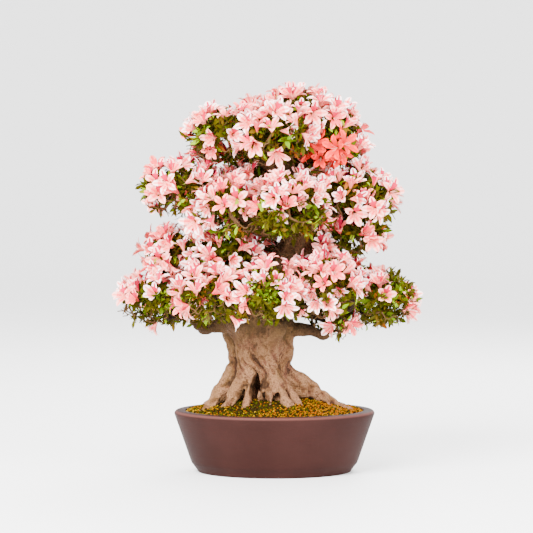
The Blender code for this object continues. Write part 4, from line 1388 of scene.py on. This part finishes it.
def root_limbs(rng):
    """Every root, with a smaller one that leaves it on either side."""
    limbs = []
    for root in ROOTS:
        path = root_path(root)
        steps = len(path) - 1
        radii = [root.r * (ROOT_SWELL - ROOT_TAPER * i / steps) for i in range(steps + 1)]
        limbs.append(knobbed(path, radii, rng))
        keel = []
        for at, r in limbs[-1]:
            over = max(0.0, at.z - ground_at(at.x, at.y))
            keel.append((at - UP * over * KEEL_DROP, r * KEEL_SHARE))
        limbs.append(keel)
        for side in (-1, 1):
            first = rng.randrange(steps // 3, steps * 2 // 3)
            start, end = path[first], path[-1]
            reach = (end - start).length * rng.uniform(*ROOTLET_REACH)
            way = end - start
            way.z = 0
            spun(way, math.radians(side * rng.uniform(*ROOTLET_TURNS) * ROOTLET_TURN), "Z").normalize()
            small = []
            for i in range(ROOTLET_STEPS + 1):
                t = i / ROOTLET_STEPS
                at = start + way * reach * t
                r = radii[first] * ROOTLET_SHARE * (1 - ROOTLET_TAPER * t)
                ground = ground_at(at.x, at.y) + r * (ROOTLET_RIDE - ROOTLET_SINK * t)
                at.z = start.z + (ground - start.z) * min(1, t * ROOTLET_FALL) ** ROOTLET_BEND
                small.append((at, r))
            limbs.append(small)
    return limbs


def flute_trunk(trunk):
    """Pushes the trunk's round tube into flutes and lumps."""
    low, high = TRUNK[0].z, TRUNK[-1].z
    for vert in trunk.data.vertices:
        z = min(max(vert.co.z, low), high)
        centre, r = trunk_at(z)
        out = Vector((vert.co.x - centre.x, vert.co.y - centre.y, 0))
        if out.length < r * CAP_SHARE:
            continue
        out.normalize()
        angle = math.atan2(out.y, out.x)
        fade = 1 - FLUTE_FADE * (z - low) / (high - low)
        flute = math.cos(FLUTES * angle + FLUTE_TWIST * z) * FLUTE_DEPTH * fade
        lump = noise.noise(out + UP * z / LUMP_HEIGHT) * LUMP_DEPTH
        vert.co += out * r * (flute + lump)


def carve_hollows(wood):
    """Cuts the dark gaps between the roots."""
    cutters = []
    for hollow in HOLLOWS:
        centre, r = trunk_at(hollow.z)
        deselect()
        bpy.ops.mesh.primitive_uv_sphere_add(segments=24, ring_count=16)
        cutter = named("cutter")
        turn = Matrix.Rotation(math.radians(hollow.turn), 4, "Z")
        place = Matrix.Translation(centre) @ turn @ Matrix.Translation((r + hollow.out, 0, 0))
        cutter.data.transform(place @ Matrix.Diagonal((hollow.long, hollow.wide, hollow.high, 1)))
        use_modifier(wood, "BOOLEAN", operation="DIFFERENCE", object=cutter, solver="MANIFOLD")
        cutters.append(cutter)
    for cutter in cutters:
        bpy.data.objects.remove(cutter)


def swell_burls(points):
    """How far each point is pushed out by the burls on the trunk."""
    lift = np.zeros(len(points))
    for burl in BURLS:
        centre, r = trunk_at(burl.z)
        turn = math.radians(burl.turn)
        at = np.array((centre.x + r * math.cos(turn), centre.y + r * math.sin(turn), burl.z))
        away = (points - at) / (burl.wide, burl.wide, burl.high)
        lift += burl.out * np.exp(-(away**2).sum(1))
    return lift


def hollowness(mesh, points, normals, rounds):
    """How far each point lies below the surface around it, once that is smoothed many times."""
    ends = np.empty(len(mesh.edges) * 2, np.int32)
    mesh.edges.foreach_get("vertices", ends)
    here, there = np.concatenate((ends.reshape(-1, 2), ends.reshape(-1, 2)[:, ::-1])).T
    count = len(points)
    degree = np.maximum(np.bincount(here, minlength=count), 1)
    smooth = points
    for _ in range(rounds):
        smooth = np.stack([np.bincount(here, smooth[there, k], count) / degree for k in range(3)], 1)
    return ((smooth - points) * normals).sum(1)


def read_normals(mesh):
    normals = np.empty(len(mesh.vertices) * 3)
    mesh.vertex_normals.foreach_get("vector", normals)
    return normals.reshape(-1, 3)


def strand(kind, turn, z):
    """How high a strand stands at a turn about the trunk and a height."""
    at = Vector((math.cos(turn) * kind.around, math.sin(turn) * kind.around, z * kind.along + kind.start))
    return (min(1.0, abs(noise.noise(at)) * kind.sharp) ** kind.bend - kind.middle) * kind.weight


def raise_bark(wood, sizes):
    """Burls, strands, knots and pits, and maps of the folds and of the wood that lies off the trunk, which
    the bark's colour uses for painted shade and highlight.
    """
    mesh = wood.data
    points = np.empty(len(mesh.vertices) * 3)
    mesh.vertices.foreach_get("co", points)
    points, normals = points.reshape(-1, 3), read_normals(mesh)
    rough = HIGH_ROUGHNESS + (1 - HIGH_ROUGHNESS) * np.clip((LOW_WOOD - points[:, 2]) / LOW_WOOD_FADE, 0, 1)
    lift = swell_burls(points)
    pits, outlying = np.zeros(len(points)), np.zeros(len(points))
    for i, (x, y, z) in enumerate(points):
        at = Vector((x, y, z))
        centre, r = trunk_at(min(max(z, TRUNK[0].z), TRUNK[-1].z))
        if z > OUTLYING_FROM:
            away = math.hypot(x - centre.x, y - centre.y)
            outlying[i] = (away - r * OUTLYING_MARGIN) / OUTLYING_FADE
        turn = math.atan2(y - centre.y, x - centre.x) + STRAND_TWIST * z
        turn += noise.noise(at * STRAND_WAVES) * STRAND_WANDER
        ridge = strand(CORD, turn, z) + strand(THREAD, turn, z) + noise.noise(at * BULGES) * BULGE_WEIGHT
        knot = noise.noise(at * SMALL_KNOTS) + noise.noise(at * KNOTS) * KNOT_WEIGHT
        pit = max(0.0, PIT_REACH - noise.voronoi(Vector((x, y, z * PIT_STRETCH)) * PITS)[0][0])
        pits[i] = pit * max(0.0, noise.noise(at * PIT_PATCHES) + PIT_SPREAD) * PIT_WEIGHT
        lift[i] += (ridge * sizes.ridge + (knot * KNOT_SHARE - pits[i]) * sizes.pit) * rough[i]
    points += normals * lift[:, None]
    mesh.vertices.foreach_set("co", points.ravel())
    mesh.update()
    normals = read_normals(mesh)
    near, far = (hollowness(mesh, points, normals, rounds) for rounds in FOLD_ROUNDS)
    fold = 0.5 + near * FOLD_WEIGHTS[0] + far * FOLD_WEIGHTS[1] + pits * FOLD_WEIGHTS[2]
    for name, values in (("fold", fold), ("outlying", outlying)):
        mesh.attributes.new(name, "FLOAT", "POINT").data.foreach_set("value", np.clip(values, 0, 1))


class BONSAI_OT_wood(bpy.types.Operator):
    """Grow the trunk, roots and boughs as one mesh with the relief of the bark"""

    bl_idname = "bonsai.wood"
    bl_label = "Trunk and boughs"

    def execute(self, context):
        sizes = context.scene.bonsai_wood
        tree = Tree.of(context.scene)
        rng = random.Random(SEED)
        trunk = tubes("trunk_tube", [trunk_line(TRUNK[0].z, TRUNK[-1].z, TRUNK_RINGS)], TRUNK_BEVEL)
        flute_trunk(trunk)
        limbs = root_limbs(rng) + [knobbed(path, radii, rng) for _, path, radii in tree.boughs]
        lines = [line for pad in tree.pads for line in pad.limbs()]
        stout = [[(at, r) for at, r in line if r > THICK_TWIG] for line in lines]
        limbs += [line for line in stout if len(line) > 2]
        wood = joined("wood", [trunk, tubes("limbs", limbs, LIMB_BEVEL)])
        use_modifier(wood, "REMESH", mode="VOXEL", voxel_size=sizes.grain)
        carve_hollows(wood)
        use_modifier(wood, "REMESH", mode="VOXEL", voxel_size=sizes.grain)
        use_modifier(wood, "SMOOTH", factor=0.5, iterations=2)
        wood.data.materials.clear()
        raise_bark(wood, sizes)
        wood.data.shade_smooth()
        solids = ["trunk"] + ["bough_" + mass.name for mass, _, _ in tree.boughs]
        finished(wood, [bark_finish(sizes)], "bark", *solids)
        return {"FINISHED"}


class BONSAI_OT_twigs(bpy.types.Operator):
    """Grow the twigs that branch from each bough's tip through its pad"""

    bl_idname = "bonsai.twigs"
    bl_label = "Twigs"

    def execute(self, context):
        sizes = context.scene.bonsai_wood
        tree = Tree.of(context.scene)
        lines = [line for twigs in tree.pads + tree.sides for line in twigs.limbs()]
        thin = []
        for line in lines:
            stout = sum(r > THICK_TWIG for _, r in line)
            kept = line[max(0, stout - 1) :] if stout > 2 else line
            if len(kept) > 1:
                thin.append(kept)
        twigs = tubes("twigs", thin, 0)
        twigs.data.shade_smooth()
        finished(twigs, plain_finishes("%s_bark", sizes, ["twig"], roughness=0.85, ior=1.1), "bark")
        return {"FINISHED"}


# Leaves and blossom


def blade(name, rows, columns):
    """A grid whose rows each say where a point lies by how far across it is, from -1 to 1."""
    deselect()
    bpy.ops.mesh.primitive_grid_add(x_subdivisions=columns, y_subdivisions=len(rows) - 1, size=1)
    made = named(name)
    for vert in made.data.vertices:
        row = rows[round((vert.co.y + 0.5) * (len(rows) - 1))]
        vert.co = row(vert.co.x * 2)
    return made


def leaf_shape(sizes):
    """One leaf of unit length along +Y, folded along its rib."""
    slim = sizes.half_width / sizes.length

    def row(at, wide, lift):
        return lambda across: (across * wide * slim, at, lift + abs(across) * wide * slim * LEAF_FOLD)

    return Shape(blade("leaf", [row(*each) for each in LEAF_ROWS], 2))


Spray = namedtuple("Spray", "at axis leaves tilt size tone")


def leaf_sprays(tree, rng):
    """A rosette of leaves at each tip, fewer under blossom, and thinner ones back along the twigs."""
    sprays, tones = [], range(len(GREENS))
    for pad in tree.pads + tree.sides:
        for tip in pad.tips:
            if tip.bears == "nothing":
                continue
            kind = SPRAYS[tip.bears]
            lit = tip.bears == "leaves" and tip.height > UNDERSIDE
            # Tips in the open draw lit greens, the rest darker ones: painted shade.
            tone = rng.choices(tones, LIT_GREENS if lit else LOW_SHADED_GREENS)[0]
            count, size = rng.randint(*kind.leaves), rng.uniform(*SPRAY_SIZES)
            sprays.append(Spray(tip.at, tip.along, count, kind.tilt, size, tone))
            back = pad.parents[tip.node]
            for _ in range(2):
                before = pad.parents[back]
                if back > 1 and rng.random() < kind.back:
                    axis = (pad.points[back] - pad.points[before]).normalized()
                    # Leaves further back draw darker greens: painted shade.
                    count, tone = rng.randint(*BACK_LEAVES), rng.choices(tones, BACK_SHADED_GREENS)[0]
                    size = rng.uniform(*BACK_SIZES)
                    sprays.append(Spray(pad.points[back], axis, count, BACK_TILT, size, tone))
                back = before
    return sprays


class BONSAI_OT_leaves(bpy.types.Operator):
    """Clothe the twigs in sprays of leaves, each spray mostly in one green, with darker greens as painted
    shade within the sprays, under the pads and further in
    """

    bl_idname = "bonsai.leaves"
    bl_label = "Leaves"

    def execute(self, context):
        sizes = context.scene.bonsai_leaves
        rng = random.Random(SEED + 1)
        leaf = leaf_shape(sizes)
        greens = plain_finishes("leaf_%s", sizes, GREENS, roughness=0.45, ior=1.10)
        tiers = {name: [] for name in TIERS}
        for spray in leaf_sprays(Tree.of(context.scene), rng):
            tier = next(name for name, high in TIERS.items() if spray.at.z < high)
            side = Vector(spray.axis).orthogonal().normalized()
            across = spray.axis.cross(side)
            turn = rng.uniform(0, math.tau)
            for k in range(spray.leaves):
                angle = turn + GOLDEN_TURN * k
                tilt = rng.uniform(*spray.tilt)
                out = side * math.cos(angle) + across * math.sin(angle)
                along = spray.axis * math.cos(tilt) + out * math.sin(tilt)
                size = sizes.length * spray.size * rng.uniform(*LEAF_SIZES)
                tone = spray.tone if rng.random() < LEAF_LIKENESS else max(0, spray.tone - 1)
                root = spray.at - spray.axis * size * rng.uniform(*LEAF_SEATS)
                facing = spray.axis + scatter(rng, LEAF_SCATTER)
                tiers[tier].append((root[:], along[:], facing[:], size, tone))
        for tier, leaves in tiers.items():
            roots, along, facing, lengths, tones = map(np.array, zip(*leaves))
            points = turned_to(leaf.points[None] * lengths[:, None, None], unit(along), unit(facing))
            bed = Bed()
            bed.deal(leaf, points + roots[:, None], tones)
            finished(bed.piece("leaves_" + tier), greens, "foliage", *tier_solids(tier))
        return {"FINISHED"}


def tier_solids(tier):
    starts = ("top", "crown") if tier == "top" else tier
    return ["mass_" + mass.name for mass in MASSES if mass.name.startswith(starts)]


def petal_shape():
    """One petal along +Y of a blossom of unit radius, from the throat to its rounded tip."""

    def row(out, up, half, bow):
        def at(across):
            edge = across * across
            return (across * half, out + bow * (1 - edge), up - PETAL_CHANNEL * (1 - edge))

        return at

    petal = blade("petal", [row(*each) for each in PETAL_ROWS], PETAL_COLUMNS)
    zones = []
    for step in range(len(PETAL_ROWS) - 1):
        for column in range(PETAL_COLUMNS):
            middle = column == PETAL_COLUMNS // 2
            zones.append((MIDDLE_ZONES if middle else EDGE_ZONES)[step])
    return Shape(petal, zones)


def cone(name, size):
    deselect()
    bpy.ops.mesh.primitive_cone_add(
        vertices=size.sides, radius1=size.low, radius2=size.high, depth=size.depth, end_fill_type="NOTHING"
    )
    made = named(name)
    made.data.transform(Matrix.Translation(UP * size.middle))
    return made


def filament_shape():
    """A stamen: a fine stalk with a knob at its end, along +Z for a blossom of unit radius."""
    stalk, knob = cone("stalk", STALK), cone("knob", KNOB)
    stalk_faces = len(stalk.data.polygons)
    both = joined("filament", [stalk, knob])
    return Shape(both, [0] * stalk_faces + [1] * (len(both.data.polygons) - stalk_faces))


def calyx_shape():
    """The green cup and stalk behind a blossom of unit radius, along -Z from its throat."""
    return Shape(cone("calyx", CALYX))


Blossom = namedtuple("Blossom", "at facing radius variant open")


def blossom_places(tree, spacing, radius, rng):
    """Where blossoms stand: one to three to a tip, on the outer tips of the pads' tops and flanks."""
    places, taken = [], []
    for pad in tree.pads + tree.sides:
        for tip in sorted(pad.tips, key=lambda tip: -tip.fill):
            sport = (tip.at - SPORT_MIDDLE).length < SPORT_REACH
            apart = spacing * (SPORT_CLOSER if sport else 1)
            if tip.bears != "blossom" or any((tip.at - other).length < apart for other in taken):
                continue
            taken.append(tip.at)
            count = 3 if sport else rng.choices((1, 2, 3), CLUSTERS)[0]
            side = spun(tip.along.orthogonal().normalized(), rng.uniform(0, math.tau), tip.along)
            shares = HIGH_VARIANTS if tip.height > OLDER_AND_SHADED_UNDER else LOW_VARIANTS
            for _ in range(count):
                spread = rng.uniform(*(LONE_SPREAD if count == 1 else SHARED_SPREAD))
                way = tip.along * math.cos(spread) + side * math.sin(spread)
                size = radius * rng.uniform(*BLOSSOM_SIZES)
                opened = rng.uniform(*OPENED)
                stalk = rng.uniform(*STALKS) - (OPENED[1] - opened) * STALK_DROP
                at = tip.at + way * size * stalk
                if any((at - place.at).length < APART * (SPORT_WIDER if sport else 1) for place in places):
                    continue
                facing = (way + UP * BLOSSOM_LIFT + scatter(rng, BLOSSOM_SCATTER)).normalized()
                variant = SPORT if sport else rng.choices(range(SPORT), shares)[0]
                places.append(Blossom(at, facing, size, variant, opened))
                spun(side, math.tau / count, tip.along)
    return places


# Blossoms: the colours of a petal's four zones, from the deepest, and of the upper petal's marks
VARIANTS = {
    "pale": ("rose", "pink", "pale", "white", "blotch", "blotch"),
    "pink": ("rose", "salmon", "pink", "pale", "blotch", "blotch"),
    "salmon": ("rose", "rose", "salmon", "pink", "blotch", "blotch"),
    "coral": ("coral_deep", "coral_deep", "coral", "coral", "coral_deep", "coral_deep"),
}
PETAL_COLOURS = ("white", "pale", "pink", "salmon", "rose", "blotch", "coral", "coral_deep")
SPORT = list(VARIANTS).index("coral")


class BONSAI_OT_blossom(bpy.types.Operator):
    """Open the five-petalled blossoms on the tops and flanks of the pads"""

    bl_idname = "bonsai.blossom"
    bl_label = "Blossom"

    def execute(self, context):
        sizes = context.scene.bonsai_blossom
        rng = random.Random(SEED + 2)
        petal, filament, calyx = petal_shape(), filament_shape(), calyx_shape()
        places = blossom_places(Tree.of(context.scene), sizes.spacing, sizes.radius, rng)
        petals = plain_finishes("petal_%s", sizes, PETAL_COLOURS, roughness=0.6, ior=1.2)
        stamens = plain_finishes("%s", sizes, ("filament", "anther", "calyx"), roughness=0.6, ior=1.2)
        for index, (name, zones) in enumerate(VARIANTS.items()):
            chosen = [place for place in places if place.variant == index]
            if chosen:
                bed = self.bed(chosen, petal, filament, calyx, rng)
                materials = [petals[PETAL_COLOURS.index(key)] for key in zones] + stamens
                finished(bed.piece("blossom_" + name), materials, "foliage")
        return {"FINISHED"}

    def bed(self, places, petal, filament, calyx, rng):
        """Petals and stamens of many blossoms, each petal bent its own way."""
        bed = Bed()
        centres, facing = (np.array([place[i][:] for place in places]) for i in range(2))
        radii, _, opened = np.array([place[2:] for place in places]).T
        lift = np.array([UP[:]]) + np.array([scatter(rng, BLOSSOM_ROLL)[:] for _ in places])
        up = unit(np.cross(np.cross(facing, lift), facing))
        side = np.cross(up, facing)

        def drawn(least, most):
            return np.array([rng.uniform(least, most) for _ in places])

        def around(share, turn):
            turn = math.tau * share + turn
            return up * np.cos(turn)[:, None] + side * np.sin(turn)[:, None]

        def deal(shape, points, slot):
            bed.deal(shape, points, np.full(len(places), slot))

        marked = np.where(petal.zones < THROAT_ZONES, MARK_SLOT + petal.zones, petal.zones)
        upper = petal.recoloured(marked)
        for k in range(PETALS):
            bend, turn, grow = drawn(*PETAL_BENDS), drawn(*PETAL_TURNS), drawn(*PETAL_LENGTHS)
            points = np.broadcast_to(petal.points, (len(places), *petal.points.shape)).copy()
            out = points[:, :, 1].copy()
            cup = (CUP_FROM - opened[:, None]) * out**CUP_BEND * CUP_DEPTH
            points[:, :, 1] = out * opened[:, None] * grow[:, None]
            points[:, :, 2] += cup + bend[:, None] * out**2
            points *= radii[:, None, None]
            placed = turned_to(points, around(k / PETALS, turn), facing)
            deal(upper if k == 0 else petal, placed + centres[:, None], 0)
        for k in range(FILAMENTS):
            turn, lean, long = drawn(*STAMEN_TURNS), drawn(*STAMEN_LEANS), drawn(*STAMEN_LENGTHS)
            along = unit(facing + around(k / FILAMENTS, turn) * lean[:, None] - up * STAMEN_DROOP)
            points = filament.points[None] * (radii * long)[:, None, None]
            stood = turned_to(points[:, :, (0, 2, 1)], along, up)
            start = centres - facing * (radii * STAMEN_SEAT)[:, None]
            deal(filament, stood + start[:, None], STAMEN_SLOT)
        cups = turned_to(calyx.points[None] * radii[:, None, None], up, facing)
        deal(calyx, cups + centres[:, None], CALYX_SLOT)
        return bed


# Stage


def aimed(place, at):
    return (at - place).to_track_quat("-Z", "Y").to_euler()


class BONSAI_OT_stage(bpy.types.Operator):
    """Set the pale floor, the soft lights and the camera"""

    bl_idname = "bonsai.stage"
    bl_label = "Stage"

    def execute(self, context):
        sizes = context.scene.bonsai_stage
        deselect()
        cells = FLOOR_CELLS
        bpy.ops.mesh.primitive_grid_add(x_subdivisions=cells, y_subdivisions=cells, size=2 * FLOOR_REACH)
        floor = named("floor")
        for vert in floor.data.vertices:
            past = max(0.0, min(vert.co.length, FLOOR_REACH) - FLOOR_FLAT)
            vert.co.z = FLOOR_CURVE * past**2
        floor.data.shade_smooth()
        floor.data.materials.append(floor_finish(sizes))
        for name, (place, size) in LIGHTS.items():
            self.light(name, place, size, sizes.key if name == "key" else sizes.fill)
        world = bpy.data.worlds.new("studio")
        world.use_nodes = True
        background = world.node_tree.nodes["Background"]
        background.inputs["Color"].default_value = (1, 1, 1, 1)
        background.inputs["Strength"].default_value = sizes.sky
        context.scene.world = world
        deselect()
        bpy.ops.object.camera_add(location=CAMERA_PLACE)
        camera = bpy.context.object
        camera.rotation_euler = aimed(CAMERA_PLACE, CAMERA_AIM)
        camera.data.lens = CAMERA_LENS
        camera.data.sensor_width = CAMERA_SENSOR
        context.scene.camera = camera
        return {"FINISHED"}

    def light(self, name, place, size, power):
        deselect()
        bpy.ops.object.light_add(type="AREA", location=place)
        lamp = bpy.context.object
        lamp.name = name + "_light"
        lamp.data.shape = "DISK"
        lamp.data.size = size
        lamp.data.energy = power
        lamp.rotation_euler = aimed(Vector(place), LIGHT_AIM)


class BONSAI_PT_looks(bpy.types.Panel):
    """Lists the bonsai's settings and pieces"""

    bl_idname = "BONSAI_PT_looks"
    bl_label = "Azalea Bonsai"
    bl_space_type = "VIEW_3D"
    bl_region_type = "UI"
    bl_category = "Bonsai"

    def draw(self, context):
        for key, group in SETTINGS:
            box = self.layout.box()
            box.label(text=key.replace("bonsai_", "").capitalize())
            settings = getattr(context.scene, key)
            for name in group.__annotations__:
                box.prop(settings, name)
        for operator in PIECES:
            self.layout.operator(operator.bl_idname)


SETTINGS = (
    ("bonsai_pot", PotSettings),
    ("bonsai_soil", SoilSettings),
    ("bonsai_wood", WoodSettings),
    ("bonsai_leaves", LeafSettings),
    ("bonsai_blossom", BlossomSettings),
    ("bonsai_stage", StageSettings),
)
PIECES = (
    BONSAI_OT_stage,
    BONSAI_OT_pot,
    BONSAI_OT_soil,
    BONSAI_OT_granules,
    BONSAI_OT_wood,
    BONSAI_OT_twigs,
    BONSAI_OT_leaves,
    BONSAI_OT_blossom,
)


def register():
    for _, group in SETTINGS:
        bpy.utils.register_class(group)
    for operator in PIECES:
        bpy.utils.register_class(operator)
    bpy.utils.register_class(BONSAI_PT_looks)
    for key, group in SETTINGS:
        setattr(bpy.types.Scene, key, PointerProperty(type=group))


def unregister():
    for key, _ in SETTINGS:
        delattr(bpy.types.Scene, key)
    bpy.utils.unregister_class(BONSAI_PT_looks)
    for operator in reversed(PIECES):
        bpy.utils.unregister_class(operator)
    for _, group in reversed(SETTINGS):
        bpy.utils.unregister_class(group)


def main():
    register()
    for operator in PIECES:
        family, name = operator.bl_idname.split(".")
        getattr(getattr(bpy.ops, family), name)()


if __name__ == "__main__":
    main()
